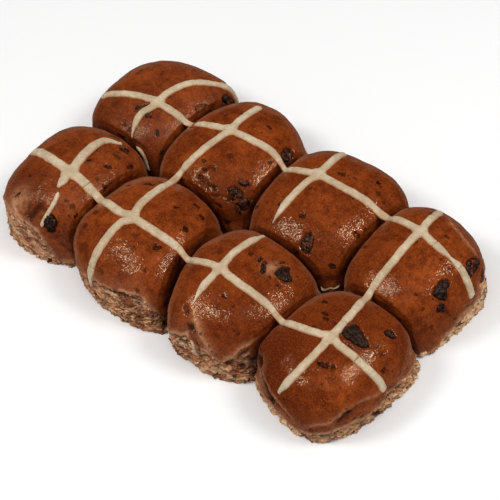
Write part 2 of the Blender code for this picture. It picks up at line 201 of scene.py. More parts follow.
# Baked-in bits of chocolate and pits in the crust: plan offset, length, width, turn in degrees, how
# deep the skin sinks there, and how dark it is.
SPOTS = {
    "front_1": (
        (17, 16, 5, 3.5, 30, 0.5, 0.95), (25, 5, 4.5, 4, 0, 0.4, 0.9), (6, 11, 4, 2.4, 60, 0.4, 0.8),
        (25, -22, 5, 3, -60, 0.4, 0.85), (16, -20, 4, 2, 40, 0.3, 0.5),
        (-16, -31, 5, 2.5, 70, 0.3, 0.7), (12, 35, 7, 5, 20, 1.0, 1.0), (14, 27, 6, 4, 0, 0.5, 0.5),
        (-8, -14, 5, 3.5, 0, 0.4, 0.4), (-1, 39, 6, 4.5, 0, 0.3, 0.95), (23, 29, 7, 3, 60, 0.8, 0.8),
        (2, 24, 3, 2, 0, 0.3, 0.5),
    ),
    "front_2": (
        (19, 31, 4.5, 3.5, 20, 0.4, 0.7), (27, 12, 5.5, 3.5, 20, 0.3, 0.8),
        (22, -9, 6, 4.5, 30, 0.5, 0.7), (34, -5, 5, 3, 60, 0.4, 0.6), (2, -37, 5, 4, 0, 0.2, 0.5),
        (-25, 17, 5, 3, 10, 0.6, 0.9), (-14, 24, 8, 3.5, 25, 0.9, 0.95), (-9, 30, 5, 3, 0, 0.5, 0.6),
        (13, 19, 3, 2.2, 0, 0.3, 0.95), (26, 27, 4.5, 3.4, 10, 0.4, 0.85),
        (8, -12, 4, 2.4, 0, 0.3, 0.4), (3, -20, 4, 2.4, 0, 0.3, 0.35),
    ),
    "front_3": (
        (16, 15, 9, 3, -56, 1.4, 0.95), (10, 18, 3.6, 2.6, 0, 0.8, 0.95),
        (14, 19, 3.4, 2.4, 40, 0.8, 0.8), (20.5, 26, 5, 2.6, 80, 0.5, 0.7),
        (23.5, 12, 3.4, 2.0, -30, 0.4, 0.6), (-14, 8, 7, 4, 30, 0.3, 0.4),
        (12, -14, 3.5, 2.6, 0, 0.3, 0.95), (-2, -16, 5, 3, 0, 0.2, 0.35), (24, -33, 5, 3, 0, 0.2, 0.4),
    ),
    "front_4": (
        (16, -1, 8, 5, -30, 0.4, 0.45), (10, -17, 8, 3.2, 15, 0.8, 1.0),
        (15, -15, 5, 3.6, 15, 0.4, 0.6), (32, -24, 7, 3.5, 20, 0.7, 0.9),
        (-19, 18, 5.5, 3, 0, 0.4, 0.8), (-12, 10.5, 5, 3, 0, 0.4, 0.7), (-9, 7.5, 4, 3, 0, 0.3, 0.7),
        (28, 12, 6, 3.5, 60, 0.3, 0.5), (33, 6, 5, 3, 70, 0.4, 0.6), (20, -22, 9, 6, 0, 0.3, 0.35),
        (5, -3, 5, 3, 0, 0.2, 0.5), (-18, -6, 6, 4, 0, 0.2, 0.35), (-12, -42.3, 6.5, 9, 0, 1.0, 0.95),
        (-24.5, -33, 6, 6, 0, 0.8, 0.9),
    ),
    "back_1": (
        (-2, -38, 5.5, 4, 0, 0.4, 0.9), (-2, -16, 9, 3.5, 50, 0.9, 0.95), (6, -18, 5, 3.6, 0, 0.6, 0.9),
        (18, -23, 4.5, 3.4, 0, 0.4, 0.85), (25, -28, 4.5, 3.6, 0, 0.4, 0.7),
        (-26, 6, 4, 2.4, 0, 0.3, 0.7), (8, -41, 7, 3.5, 0, 0.8, 0.85), (-4, -30, 3, 2, 0, 0.3, 0.6),
        (4, 10, 5, 4, 0, 0.2, 0.35), (20, 6, 4, 3, 0, 0.2, 0.4), (26, 14, 6, 4, 0, 0.3, 0.4),
    ),
    "back_2": (
        (31, -22, 6.5, 4, 30, 1.3, 1.0), (35, -28, 5, 3.5, 0, 1.2, 1.0),
        (35, -33, 4.5, 3.5, 0, 1.2, 1.0), (38, -27, 4, 3, 0, 1.0, 0.95),
        (38, -30, 3.5, 2.6, 0, 1.0, 0.95), (30, -34, 5, 3, 20, 1.2, 0.95),
        (7, -35, 4.5, 3, 0, 1.2, 0.95), (2, -26, 3.5, 2.6, 0, 0.8, 0.9), (18, -35, 5, 3, 0, 0.8, 0.8),
        (25, -40, 5, 3, 0, 1.0, 0.9), (29, -41, 5, 3.5, 0, 0.6, 0.85), (-1, -7, 4, 2, 40, 0.3, 0.8),
        (-26, -8, 3, 2.2, 0, 0.3, 0.8), (16, 19, 4, 2.6, 0, 0.3, 0.8), (33, 0, 4, 2.4, 60, 0.3, 0.6),
        (24, 4, 5, 3, 0, 0.2, 0.4), (6, -30, 4, 2.6, 0, 0.5, 0.8),
    ),
    "back_3": (
        (6, -25, 5.5, 3.6, 40, 0.4, 0.75), (37, -14, 5, 4, 30, 0.5, 0.8),
        (35, -35, 5.5, 4, 20, 0.6, 0.9), (22, 21, 5, 2.6, -30, 0.4, 0.85), (13, -45, 5, 4, 0, 0.6, 0.9),
        (-27, -31, 4.5, 3, 0, 0.4, 0.9), (5, 12, 7, 4.5, 20, 0.5, 0.65), (12, 14, 4, 3, 0, 0.3, 0.5),
        (-3, -8, 3.5, 2.4, 0, 0.3, 0.6), (-12, -26, 4, 3, 0, 0.3, 0.7), (16, -14, 3, 2, 0, 0.3, 0.5),
        (38, -8, 3, 2.4, 0, 0.3, 0.6),
    ),
    "back_4": (
        (35, -25, 7, 4.6, 70, 0.5, 0.95), (36, 3, 6, 3, 75, 0.5, 0.8), (34, -32, 5, 4.5, 0, 0.5, 0.55),
        (-24, -20, 3.4, 2.6, 0, 0.3, 0.8), (14, 12, 4, 2.6, 0, 0.3, 0.6), (38, 17, 6, 4, 60, 0.5, 0.7),
        (22, -30, 3, 2, 0, 0.3, 0.6), (6, 26, 3, 2, 0, 0.3, 0.6),
    ),
}
# Broad hollows, and bulges of paler dough where the depth is below 0: plan offset, radius, depth.
DENTS = {
    "front_1": ((12, 30, 7, 1.2), (-14, -33, 5, -0.6)),
    "front_3": ((19.5, 17.5, 3.2, -1.0), (13, 15, 4, 0.8)),
    "front_4": ((-25, -31, 6, 3.0),),
    "back_1": ((29, 30, 5, 1.4),),
    "back_2": ((29, -30, 8, 1.5), (9, -38, 5, 0.8), (36, 12, 4, 0.6)),
    "back_3": ((17, -37, 4, 0.6),),
    "back_4": ((30, 9, 5, 0.8),),
}
# Piped paste. For each cross: its centre, then the plan offsets that its left, right, front and
# back arms pass through, and how each arm ends.
CROSSES = {
    "front_1": (
        (4, -3),
        (((-16, -1.5), (-35, 0.5)), "blunt"),
        (((14, -3), (22, -3.5), (30, -2)), "seam"),
        (((5, -9), (6, -16)), "torn"),
        (((1.5, 8), (0, 16), (-1, 24), (0, 31), (8, 37)), "tail"),
    ),
    "front_2": (
        (-1.5, -3.5),
        (((-12, -4.5), (-27, -2)), "seam"),
        (((16, -2.5), (31, 0)), "seam"),
        (((-4, -11), (-4.5, -27), (-5, -41.5)), "pointed"),
        (((-4, 8), (-5, 23), (-6, 31)), "seam"),
    ),
    "front_3": (
        (-3.5, -1),
        (((-10, -1), (-20, -2.5), (-28, -2.5)), "seam"),
        (((8, -2.5), (26, -2.5), (36, -2)), "seam"),
        (((-3.5, -9), (-4, -18), (-3, -27)), "pointed"),
        (((-4.5, 11), (-4.5, 22), (-4, 37)), "narrow"),
    ),
    "front_4": (
        (2, -1.5),
        (((-6, -3.5), (-16, -5.5), (-27, -6)), "seam"),
        (((12, -2.5), (28, -2), (36.5, 0.5)), "blunt"),
        (((2.5, -12), (1.6, -27), (-0.6, -35), (-4, -39.5)), "narrow"),
        (((1.5, 6), (-0.5, 20), (-4, 34)), "seam"),
    ),
    "back_1": (
        (4, -7.5),
        (((-8, -9.5), (-20, -13.5), (-35, -19)), "blunt"),
        (((10, -7.5), (26, -5.5)), "seam"),
        (((4, -12), (1.5, -20), (3, -27), (6, -34)), "pointed"),
        (((3.5, 3), (7, 17.5), (14, 27), (21.5, 38)), "blunt"),
    ),
    "back_2": (
        (-1, 1),
        (((-8, -1), (-24, -4)), "seam"),
        (((10, 2), (27, 5), (33, 5)), "seam"),
        (((-2, -10), (-4, -22), (-7, -37)), "seam"),
        (((-2, 8), (-3, 17), (-6, 30)), "blunt"),
    ),
    "back_3": (
        (-6.5, 3.5),
        (((-12, 1.5), (-27, -1.5)), "seam"),
        (((8, 3.5), (24, 5), (33, 6)), "seam"),
        (((-8, -6), (-8.5, -24), (-8, -37.5)), "pointed"),
        (((-7, 12), (-10, 31)), "blunt"),
    ),
    "back_4": (
        (-1, 4),
        (((-8, 4.5), (-25, 5)), "seam"),
        (((8, 2.5), (23, 1), (31, 1.5), (39.5, -0.5)), "blunt"),
        (((-1, -9), (-0.5, -25), (-2, -41)), "seam"),
        (((-2, 10), (-5, 28)), "blunt"),
    ),
}
ARM_DIRECTIONS = ((-1.0, 0.0), (1.0, 0.0), (0.0, -1.0), (0.0, 1.0))


# ---- noise -----------------------------------------------------------------------------------

PICKS = 256  # how many random picks a noise draws from; a power of two


def smooth_step(low, high, value):
    """0 at low, 1 at high (either may be the greater), and an even S between them."""
    share = np.clip((value - low) / (high - low), 0.0, 1.0)
    return share * share * (3.0 - 2.0 * share)


def unit(vectors):
    """The vectors, each made one long."""
    return vectors / np.maximum(np.linalg.norm(vectors, axis=-1, keepdims=True), 1e-9)


def picked(order, cell):
    """The same random pick, below PICKS, each time that a whole-number cell is met."""
    index = order[cell[..., 0] % PICKS]
    index = order[(index + cell[..., 1]) % PICKS]
    return order[(index + cell[..., 2]) % PICKS]


def gradient_noise(points, seed):
    """Noise from about -1 to 1: random slopes at whole-number corners, blended smoothly between."""
    rng = np.random.default_rng(seed)
    slopes = unit(rng.normal(size=(PICKS, 3)))
    order = rng.permutation(PICKS)
    cell = np.floor(points).astype(int)
    inside = points - cell
    fade = inside**3 * (inside * (inside * 6.0 - 15.0) + 10.0)
    total = np.zeros(points.shape[:-1])
    for corner in np.ndindex(2, 2, 2):
        step = np.array(corner)
        weight = np.where(step, fade, 1.0 - fade).prod(-1)
        total += weight * (slopes[picked(order, cell + step)] * (inside - step)).sum(-1)
    return total * 1.6


def layered_noise(points, seed, layers=3):
    """Gradient noise with finer layers added, each half as long and half as strong."""
    total = np.zeros(points.shape[:-1])
    for layer in range(layers):
        total += gradient_noise(points * 2.0**layer, seed + layer) * 0.5**layer
    return total


def ridged_noise(points, seed, layers=2):
    """Sharp crests where gradient noise crosses zero: 1 on a crest, falling to 0 away from it."""
    total = np.zeros(points.shape[:-1])
    for layer in range(layers):
        crest = 1.0 - 2.2 * np.abs(gradient_noise(points * 2.0**layer, seed + layer))
        total += np.clip(crest, 0.0, 1.0) * 0.5**layer
    return total / (2.0 - 0.5 ** (layers - 1))


def pore_noise(points, seed):
    """Distance to the nearest of one random point per whole-number cell."""
    rng = np.random.default_rng(seed)
    places = rng.random((PICKS, 3))
    order = rng.permutation(PICKS)
    cell = np.floor(points).astype(int)
    inside = points - cell
    nearest = np.full(points.shape[:-1], 9.0)
    for corner in np.ndindex(3, 3, 3):
        step = np.array(corner) - 1
        away = places[picked(order, cell + step)] + step - inside
        nearest = np.minimum(nearest, (away**2).sum(-1))
    return np.sqrt(nearest)


def bump_share(px, py, at_x, at_y, radius):
    """1 at a plan offset, falling as a bell curve of the given radius."""
    return np.exp(-((px - at_x) ** 2 + (py - at_y) ** 2) / (2.0 * radius**2))


# ---- the dome --------------------------------------------------------------------------------


def soft_limit(value, limit):
    """value, eased into limit within one crease radius of it, and never past it."""
    past = np.maximum((value - limit) / CREASE_RADIUS + 1.0, 0.0)
    return np.where(past > 0.0, limit - CREASE_RADIUS * np.exp(-past), value)


def freedom(value, limit):
    """1 away from limit, falling to 0 where soft_limit has pressed value flat against it."""
    return np.exp(-np.maximum((value - limit) / CREASE_RADIUS + 1.0, 0.0))


def press(plan, x, y):
    """Presses plan positions flat against shared seams, and gives how free of them each point is."""
    pressed, free = [], np.ones_like(x)
    for axis, value in enumerate((x, y)):
        if plan["joined_high"][axis]:
            free = free * freedom(value, plan["high"][axis])
            value = soft_limit(value, plan["high"][axis])
        if plan["joined_low"][axis]:
            free = free * freedom(-value, -plan["low"][axis])
            value = -soft_limit(-value, -plan["low"][axis])
        pressed.append(value)
    return pressed[0], pressed[1], free


def push(points):
    """Shifts points sideways by the smooth bump of each entry in PUSHES and FOOT_PUSHES."""
    shifted = points.copy()
    low = np.clip(1.0 - points[..., 2] / WIDEST_Z, 0.0, 1.0)
    for pushes, share in ((PUSHES, np.ones_like(low)), (FOOT_PUSHES, low)):
        for centre, shift, radius in pushes:
            weight = share * bump_share(points[..., 0], points[..., 1], *centre, radius)
            shifted[..., :2] += weight[..., None] * np.array(shift)
    return shifted


def reach(plan, axis, signed):
    """Distance from the crown to the dome's unpressed outline, on the side that signed points to."""
    crown = plan["crown"][axis]
    up = plan["high"][axis] - crown + PRESSED_OVER * plan["joined_high"][axis]
    down = crown - plan["low"][axis] + PRESSED_OVER * plan["joined_low"][axis]
    return np.where(signed > 0.0, up, down)


def dome(plan, px, py):
    """Smooth dough over the plan offset (px, py), and how free of its neighbours it is.

    With q the superelliptic distance from the crown (1 on the widest outline), the dome is
    z = widest + rise * (1 - q^p)^(1/p). Past q = 1 the offset runs down the side wall, whose plan
    is a superellipse that gets squarer towards the tray.
    """
    reach_x, reach_y = reach(plan, 0, px), reach(plan, 1, py)
    ux, uy = np.abs(px / reach_x), np.abs(py / reach_y)
    q = np.maximum((ux**PLAN_POWER + uy**PLAN_POWER) ** (1.0 / PLAN_POWER), 1e-6)
    angle = np.arctan2(py, px)
    down = np.clip((q - 1.0) / SIDE_SPAN, 0.0, 1.0)
    seams = np.where(px > 0, plan["joined_high"][0], plan["joined_low"][0]).astype(float)
    seams = seams + np.where(py > 0, plan["joined_high"][1], plan["joined_low"][1])
    foot = FOOT_POWER + FOOT_POWER_PER_SEAM * seams
    power = PLAN_POWER + (foot - PLAN_POWER) * down * down * (3.0 - 2.0 * down)
    spread = np.maximum(ux**power + uy**power, 1e-12)
    outline = spread ** (-1.0 / power) * (1.0 - FOOT_TUCK * down**2)
    scale = np.where(q > 1.0, outline, 1.0)
    phase = plan["phase"]
    wave = sum(share * np.sin(count * angle + turn * phase) for count, turn, share in OUTLINE_WAVES)
    inside = np.minimum(q, 1.0)
    scale = scale * (1.0 + OUTLINE_WAVE * wave * inside**2)
    rise = plan["crown"][2] - WIDEST_Z
    z = WIDEST_Z + rise * (1.0 - inside**PROFILE_POWER) ** (1.0 / PROFILE_POWER)
    swell = np.sin(px / SWELL_X + phase) * np.sin(py / SWELL_Y - phase)
    z = z + SWELL_HEIGHT * swell * (1.0 - inside**2) * inside - WIDEST_Z * down
    for at_x, at_y, radius, height in plan["swells"]:
        z = z + height * bump_share(px, py, at_x, at_y, radius) * (1.0 - down)
    x, y, free = press(plan, plan["crown"][0] + px * scale, plan["crown"][1] + py * scale)
    return push(np.stack([x, y, z], -1)), free


def dome_slopes(plan, px, py):
    """How the dome runs through space for each millimetre of px and of py, and its outward normal."""
    step = SLOPE_STEP
    slope_x = (dome(plan, px + step, py)[0] - dome(plan, px - step, py)[0]) / (2.0 * step)
    slope_y = (dome(plan, px, py + step)[0] - dome(plan, px, py - step)[0]) / (2.0 * step)
    return slope_x, slope_y, unit(np.cross(slope_x, slope_y))


def outline_offsets(plan, turn):
    """Plan offsets of the widest outline in the directions turn, in radians."""
    cos, sin = np.cos(turn), np.sin(turn)
    ux, uy = np.abs(cos / reach(plan, 0, cos)), np.abs(sin / reach(plan, 1, sin))
    size = (ux**PLAN_POWER + uy**PLAN_POWER) ** (-1.0 / PLAN_POWER)
    return size * cos, size * sin


def node_box(node):
    """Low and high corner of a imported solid, in millimetres."""
    return (np.array(corner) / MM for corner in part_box(node))


def read_plans():
    """Each bun's crown and plan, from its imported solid.

    The crown is the solid's highest point. The plan starts as the solid's box, and is eased until
    the dome's own side wall fills that box, because pushed dough reaches a little past its seams.
    """
    plans = {}
    turn = np.linspace(-math.pi, math.pi, PLAN_DIRECTIONS)
    wall = np.linspace(1.0, 1.0 + SIDE_SPAN, 5)[:, None]
    for name in BUNS:
        low, high = node_box(f"bun_{name}")
        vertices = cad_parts[f"bun_{name}"].data.vertices
        places = np.empty(len(vertices) * 3)
        vertices.foreach_get("co", places)
        places = places.reshape(-1, 3) / MM
        column, row = int(name[-1]), name[:-2]
        plan = {
            "low": low[:2].copy(),
            "high": high[:2].copy(),
            "crown": places[places[:, 2].argmax()],
            "joined_low": (column > 1, row == "back"),
            "joined_high": (column < 4, row == "front"),
            "phase": PHASE_STEP * len(plans),
            "swells": SWELLS.get(name, ()),
        }
        for _ in range(PLAN_ROUNDS):
            across, along = outline_offsets(plan, turn)
            made, _ = dome(plan, across * wall, along * wall)
            plan["low"] += low[:2] - made[..., :2].min((0, 1))
            plan["high"] += high[:2] - made[..., :2].max((0, 1))
        plans[name] = plan
    return plans


# ---- skin relief -----------------------------------------------------------------------------

LUMPS = ((24.0, 0.7), (9.0, 0.34), (3.5, 0.1))  # length and height of the dough's unevenness
PRESSED_LUMPS = 0.3  # the share of it that is left where a bun is pressed against its neighbour
EDGE_WANDER = (8.0, 1.5)  # length and height of the torn edge's wandering, and of its fine rag
EDGE_RAG = (1.8, 0.5)
LIP_ROLL = 0.7
LIP_ROUND = 0.9
LIP_REACH = 5.0
RECESS = 1.7
FLARE = 0.9
LAYER_HEIGHT = 0.8
LEDGE_HEIGHT = 1.5
LEDGE_RISE = 2.6
LEDGE_BEND = 4.0
SLIT_DEPTH = 1.5
GRAIN_HEIGHT = 0.35
PORE_DEPTH = 0.9
WRINKLE_HEIGHT = 0.5
CREASE_SINK = 1.1
FOLD_POINTS = 40
FOLD_SHAKE = 0.5
SPOT_SHAKE = 0.55
SEAT_DEPTH = 1.0
SEAT_ROOM = 0.3
SEAT_SHAKE = 0.15
SEAT_RIM = 0.35
SEAT_DARK = 0.9
SHAKE_SIZE = 3.0
# Sizes along X, Y and Z of what the crumb and the crust's edge are made of.
WRINKLE_SIZE = np.array([14.0, 14.0, 2.4])
THICK_LAYER_SIZE = np.array([10.0, 10.0, 2.4])
THIN_LAYER_SIZE = np.array([8.0, 8.0, 0.9])
CLUMP_SIZE = 7.0
WARP_SIZE = 8.0
BEND_SIZE = np.array([9.0, 9.0, 5.0])
SLIT_SIZE = np.array([9.0, 9.0, 2.6])
BREAK_SIZE = 5.0
GRAIN_SIZE = 1.6
PORE_SIZE = np.array([4.2, 4.2, 2.6])
FLARE_SIZE = 3.5
CRUMB_PALER = {"front_4": 0.45, "back_4": 1.0}
CRUMB_STYLE = {"front_1": (0.45, 0.45)}  # depth of slits and slant of layers, where not 1 and 0
# The first bun's seed, what each bun adds to it, and what each noise in a skin adds to its bun's.
FIRST_SEED = 100
BUN_SEED_STEP = 50
SEED_STEPS = {
    "lumps": 0, "wrinkles": 5, "warp": 7, "thick layers": 8, "slits": 9, "breaks": 10, "grain": 11,
    "thin layers": 12, "clumps": 13, "pores": 14, "bend": 15, "flare": 17, "seam crumb": 18,
    "seam shade": 19, "edge": 20, "edge rag": 21, "fold x": 31, "fold y": 33, "fold z": 35, "spots": 40,
}
SEAT_SEED = 600


def seed_of(name, noise):
    """The seed of one of the noises in a bun's skin."""
    return FIRST_SEED + BUN_SEED_STEP * BUNS.index(name) + SEED_STEPS[noise]


def lumps(name, points, free):
    """Slow swelling of the dough, weaker where the bun is pressed against its neighbour."""
    total = np.zeros(points.shape[:-1])
    for layer, (length, height) in enumerate(LUMPS):
        total += height * gradient_noise(points / length, seed_of(name, "lumps") + layer)
    return total * (PRESSED_LUMPS + (1.0 - PRESSED_LUMPS) * free)


def height_over_edge(name, px, py, points):
    """Height of each point over the crust's torn lower edge, which wanders a little."""
    angles, heights = zip(*sorted(CRUST_EDGES[name]))
    edge = np.interp(np.degrees(np.arctan2(py, px)), angles, heights, period=360.0)
    wander = EDGE_WANDER[1] * layered_noise(points / EDGE_WANDER[0], seed_of(name, "edge"))
    rag = EDGE_RAG[1] * gradient_noise(points / EDGE_RAG[0], seed_of(name, "edge rag"))
    return points[..., 2] - edge - (wander + rag), edge


def wall_path(plan, route, count):
    """A smooth path over the dome through places on its side."""
    path = smooth_path(route, count)
    turn, z = np.radians(path[:, 0]), path[:, 1]
    up = np.clip((z - WIDEST_Z) / (plan["crown"][2] - WIDEST_Z), 0.0, 1.0)
    q = (1.0 - up**PROFILE_POWER) ** (1.0 / PROFILE_POWER)
    q = q + SIDE_SPAN * np.clip(1.0 - z / WIDEST_Z, 0.0, 1.0)
    across, along = outline_offsets(plan, turn)
    return dome(plan, across * q, along * q)[0]


def fold_shares(name, plan, points):
    """Sunk depth of one bun's folds, how far each point lies in one of its furrows, which the
    material darkens with painted shade, and how far it lies on a ridge, which the material
    lightens with a painted highlight.

    A fold sinks the skin by depth * exp(-(d / w)^1.3), d from its path, fading out at its ends.
    """
    sunk, furrow_shade, ridge = np.zeros((3, *points.shape[:-1]))
    axes = (seed_of(name, f"fold {axis}") for axis in "xyz")
    shake = np.stack([layered_noise(points / SHAKE_SIZE, seed) for seed in axes], -1)
    shaken = points + FOLD_SHAKE * shake
    for depth, width, route in FOLDS[name]:
        path = wall_path(plan, route, FOLD_POINTS)
        room = 3.0 * width
        near = ((shaken > path.min(0) - room) & (shaken < path.max(0) + room)).all(-1)
        away = ((shaken[near][:, None] - path) ** 2).sum(-1)
        run = away.argmin(1) / (FOLD_POINTS - 1.0)
        ends = np.clip(4.0 * np.minimum(run, 1.0 - run) + 0.15, 0.0, 1.0)
        share = np.exp(-((np.sqrt(away.min(1)) / width) ** 1.3)) * ends
        sunk[near] += depth * share
        side = furrow_shade if depth > 0.0 else ridge
        side[near] = np.maximum(side[near], np.minimum(share * (0.5 + 0.5 * abs(depth)), 1.0))
    return sunk, furrow_shade, ridge


def spot_shares(name, plan, points):
    """Sunk depth and chocolate darkness of the spots in one bun's crust.

    A spot is an ellipse on the surface whose radius is shaken by noise. r is the distance from its
    centre in its own radii, and the skin sinks smoothly inside r = 1.
    """
    sunk, dark = np.zeros((2, *points.shape[:-1]))
    shake = SPOT_SHAKE * layered_noise(points / SHAKE_SIZE, seed_of(name, "spots"))
    for px, py, length, width, turn, depth, darkness in SPOTS[name]:
        place = np.array([float(px)]), np.array([float(py)])
        normal = dome_slopes(plan, *place)[2][0]
        offset = points - dome(plan, *place)[0][0]
        heading = np.array([math.cos(math.radians(turn)), math.sin(math.radians(turn)), 0.0])
        along = unit(heading - normal * heading.dot(normal))
        across = np.cross(normal, along)
        r = np.hypot(offset @ along / (length / 2.0), offset @ across / (width / 2.0))
        r = r + shake + 0.3 * np.abs(offset @ normal) / length
        sunk += depth * smooth_step(1.3, 0.4, r)
        dark = np.maximum(dark, darkness * smooth_step(1.1, 0.85, r))
    return sunk, dark


def seat_shares(name, plan, px, py, points):
    """Sunk depth and darkness of the hollow that each lump of chocolate on one bun sits in.

    r is the distance from the lump's middle as a share of its outline's radius that way.
    """
    sunk, dark = np.zeros((2, *px.shape))
    for number, (node, look) in enumerate(LUMPS_OF_CHOCOLATE.items()):
        if look[0] != name:
            continue
        outline, middle = lump_outline(plan, node)
        spokes = outline - middle
        order = np.arctan2(spokes[:, 1], spokes[:, 0])
        turns, radii = np.array(sorted(zip(order, np.hypot(*spokes.T)))).T
        turn = np.arctan2(py - middle[1], px - middle[0])
        radius = np.interp(turn, turns, radii, period=2.0 * math.pi)
        r = (np.hypot(px - middle[0], py - middle[1]) - SEAT_ROOM) / radius
        r = r + SEAT_SHAKE * layered_noise(points / 2.5, SEAT_SEED + number, 2)
        sunk += SEAT_DEPTH * smooth_step(1.25, 0.9, r) - SEAT_RIM * np.exp(-(((r - 1.3) / 0.15) ** 2))
        dark = np.maximum(dark, SEAT_DARK * smooth_step(1.1, 0.95, r))
    return sunk, dark


def dent_shares(name, px, py):
    """Sunk depth of one bun's broad hollows, and how far each point lies on a bulge."""
    sunk, bulge = np.zeros((2, *px.shape))
    for at_x, at_y, radius, depth in DENTS.get(name, ()):
        share = bump_share(px, py, at_x, at_y, radius)
        sunk += depth * share
        if depth < 0.0:
            bulge = np.maximum(bulge, 0.8 * share)
    return sunk, bulge


def crust_relief(name, plan, px, py, points, over, open_side):
    """How far the crust stands off the dome, how near its torn edge is, its rolled lip, and how dark
    its spots are.

    The lip stands out by exp(-((h - r) / r)^2) at the height h over the edge, wrinkles follow it
    and fade by exp(-h / reach), and the spots and the lumps' seats are sunk.
    """
    near = np.exp(-np.maximum(over, 0.0) / LIP_REACH) * open_side
    wrinkles = ridged_noise(points / WRINKLE_SIZE, seed_of(name, "wrinkles")) - 0.35
    lip = np.exp(-(((over - LIP_ROUND) / LIP_ROUND) ** 2)) * open_side
    sunk, dark = spot_shares(name, plan, points)
    seat, seat_dark = seat_shares(name, plan, px, py, points)
    relief = wrinkles * WRINKLE_HEIGHT * near + LIP_ROLL * lip - sunk - seat
    return relief, near, lip, np.maximum(dark, seat_dark)


def crumb_relief(name, points, edge, below):
    """How far torn crumb stands off the dome, its ragged layers, their level, and how much painted
    shade falls in its slits, pores and under its ledges.

    It starts recessed under the crust and flares at the tray. Flat layers, the slits between them,
    grains and pores stand on ledges that come back each LEDGE_RISE of level, which is the height
    bent by slow noise.
    """
    cut, slant = CRUMB_STYLE.get(name, (1.0, 0.0))
    slanted = points + points[..., :1] * np.array([0.0, 0.0, slant])
    warp = 0.6 * layered_noise(points / WARP_SIZE, seed_of(name, "warp"))[..., None]
    layers = 0.8 * gradient_noise(slanted / THICK_LAYER_SIZE + warp, seed_of(name, "thick layers"))
    layers += 0.6 * gradient_noise(slanted / THIN_LAYER_SIZE + warp, seed_of(name, "thin layers"))
    layers += 0.7 * gradient_noise(points / CLUMP_SIZE, seed_of(name, "clumps"))
    level = slanted[..., 2] + LEDGE_BEND * layered_noise(slanted / BEND_SIZE, seed_of(name, "bend"))
    ledge = level / LEDGE_RISE - np.floor(level / LEDGE_RISE)
    ledge = smooth_step(0.0, 0.3, ledge) * smooth_step(1.0, 0.5, ledge)
    slits = 1.0 - 6.0 * np.abs(gradient_noise(slanted / SLIT_SIZE + warp, seed_of(name, "slits")))
    breaks = gradient_noise(points / BREAK_SIZE, seed_of(name, "breaks")) + 0.5 * np.exp(-below / 4.0)
    slits = np.clip(slits, 0.0, 1.0) * smooth_step(0.05, 0.45, breaks) * cut
    grain = layered_noise(points / GRAIN_SIZE, seed_of(name, "grain"), 2)
    pores = smooth_step(0.34, 0.16, pore_noise(points / PORE_SIZE, seed_of(name, "pores")))
    recess = RECESS * smooth_step(0.0, 1.6, below) * smooth_step(edge * 0.7 + 1.0, 1.0, below)
    ragged = 0.5 + layered_noise(points / FLARE_SIZE, seed_of(name, "flare"), 2)
    relief = LEDGE_HEIGHT * (ledge - 0.5) * cut + LAYER_HEIGHT * layers - SLIT_DEPTH * slits
    relief = relief + GRAIN_HEIGHT * grain - PORE_DEPTH * pores - recess
    relief = relief + FLARE * smooth_step(5.0, 0.5, points[..., 2]) * ragged
    # Painted shade: darker in slits and pores and under each ledge, less on raised layers.
    hollow = np.clip(slits + 0.8 * pores + 0.9 * cut * (0.3 - ledge) - 0.25 * layers, 0.0, 1.0)
    return relief, layers, level, hollow


def bun_relief(name, plan, px, py, points, free):
    """How far the real skin stands off the smooth dome, and the masks that its material reads.

    The skin is crust over the torn edge and crumb under it. The dough's lumps, dents and folds run
    over both, and the skin sinks away into the creases.
    """
    over, edge = height_over_edge(name, px, py, points)
    below = np.maximum(-over, 0.0)
    open_side = smooth_step(0.02, 0.3, free)
    torn = smooth_step(0.4, -0.4, over) * open_side
    crust, near_lip, lip, dark = crust_relief(name, plan, px, py, points, over, open_side)
    crumb, layers, level, hollow = crumb_relief(name, points, edge, below)
    fold, furrow_shade, ridge = fold_shares(name, plan, points)
    dents, bulges = dent_shares(name, px, py)
    crease = CREASE_SINK * smooth_step(1.0, 0.4, free) * smooth_step(0.03, 0.16, free)
    relief = lumps(name, points, free) - dents + torn * crumb + (1.0 - torn) * crust - fold - crease

    under_lip = smooth_step(0.0, 0.8, below) * smooth_step(3.0, 1.0, below)
    seam_crumb = 0.6 + layered_noise(points / SHAKE_SIZE, seed_of(name, "seam crumb"), 2)
    shaded = 0.8 * np.maximum(under_lip, smooth_step(0.97, 0.5, free) * seam_crumb)
    pale_crumb = np.clip(layers, 0.0, 1.0) + CRUMB_PALER.get(name, 0.0)
    seam_shake = 0.2 * layered_noise(points / 5.0, seed_of(name, "seam shade"), 2)
    masks = {
        "torn": torn,
        # A band of dull skin above the torn edge, whose colour also paints a sheen.
        "lip": near_lip * (1.0 - torn),
        "stain": dark * (1.0 - torn),
        # Painted shade in furrows, in the crumb's slits, pores and ledges, under the crust's lip and in
        # the crumb near seams.
        "hollow": np.maximum(furrow_shade, torn * np.maximum(hollow, shaded)),
        # Paler dough on bulges, the rolled lip and some buns' crumb, with a painted highlight along ridges
        # and on raised crumb.
        "pale": np.clip(ridge + bulges + lip + torn * pale_crumb, 0.0, 1.0),
        "level": level,
        # Painted shade and duller crust near the seams.
        "seam": smooth_step(0.5, 0.05, free + seam_shake),
    }
    return relief, masks


# ---- meshes ----------------------------------------------------------------------------------


def sheet_faces(rows, columns, wrap=False, start=0):
    """Quads of a grid of points stored row by row from index start, closed round if it wraps."""
    row, column = np.meshgrid(np.arange(rows - 1), np.arange(columns - (not wrap)), indexing="ij")
    after = (column + 1) % columns
    corners = (row * columns + column, (row + 1) * columns + column)
    corners += ((row + 1) * columns + after, row * columns + after)
    return start + np.stack(corners, -1).reshape(-1, 4)


def pole_faces(ring, pole, outward):
    """Triangles from each side of a ring of point indices to one pole."""
    after = np.roll(ring, -1)
    ends = (ring, after) if outward else (after, ring)
    return np.stack([np.full(len(ring), pole), *ends], -1)


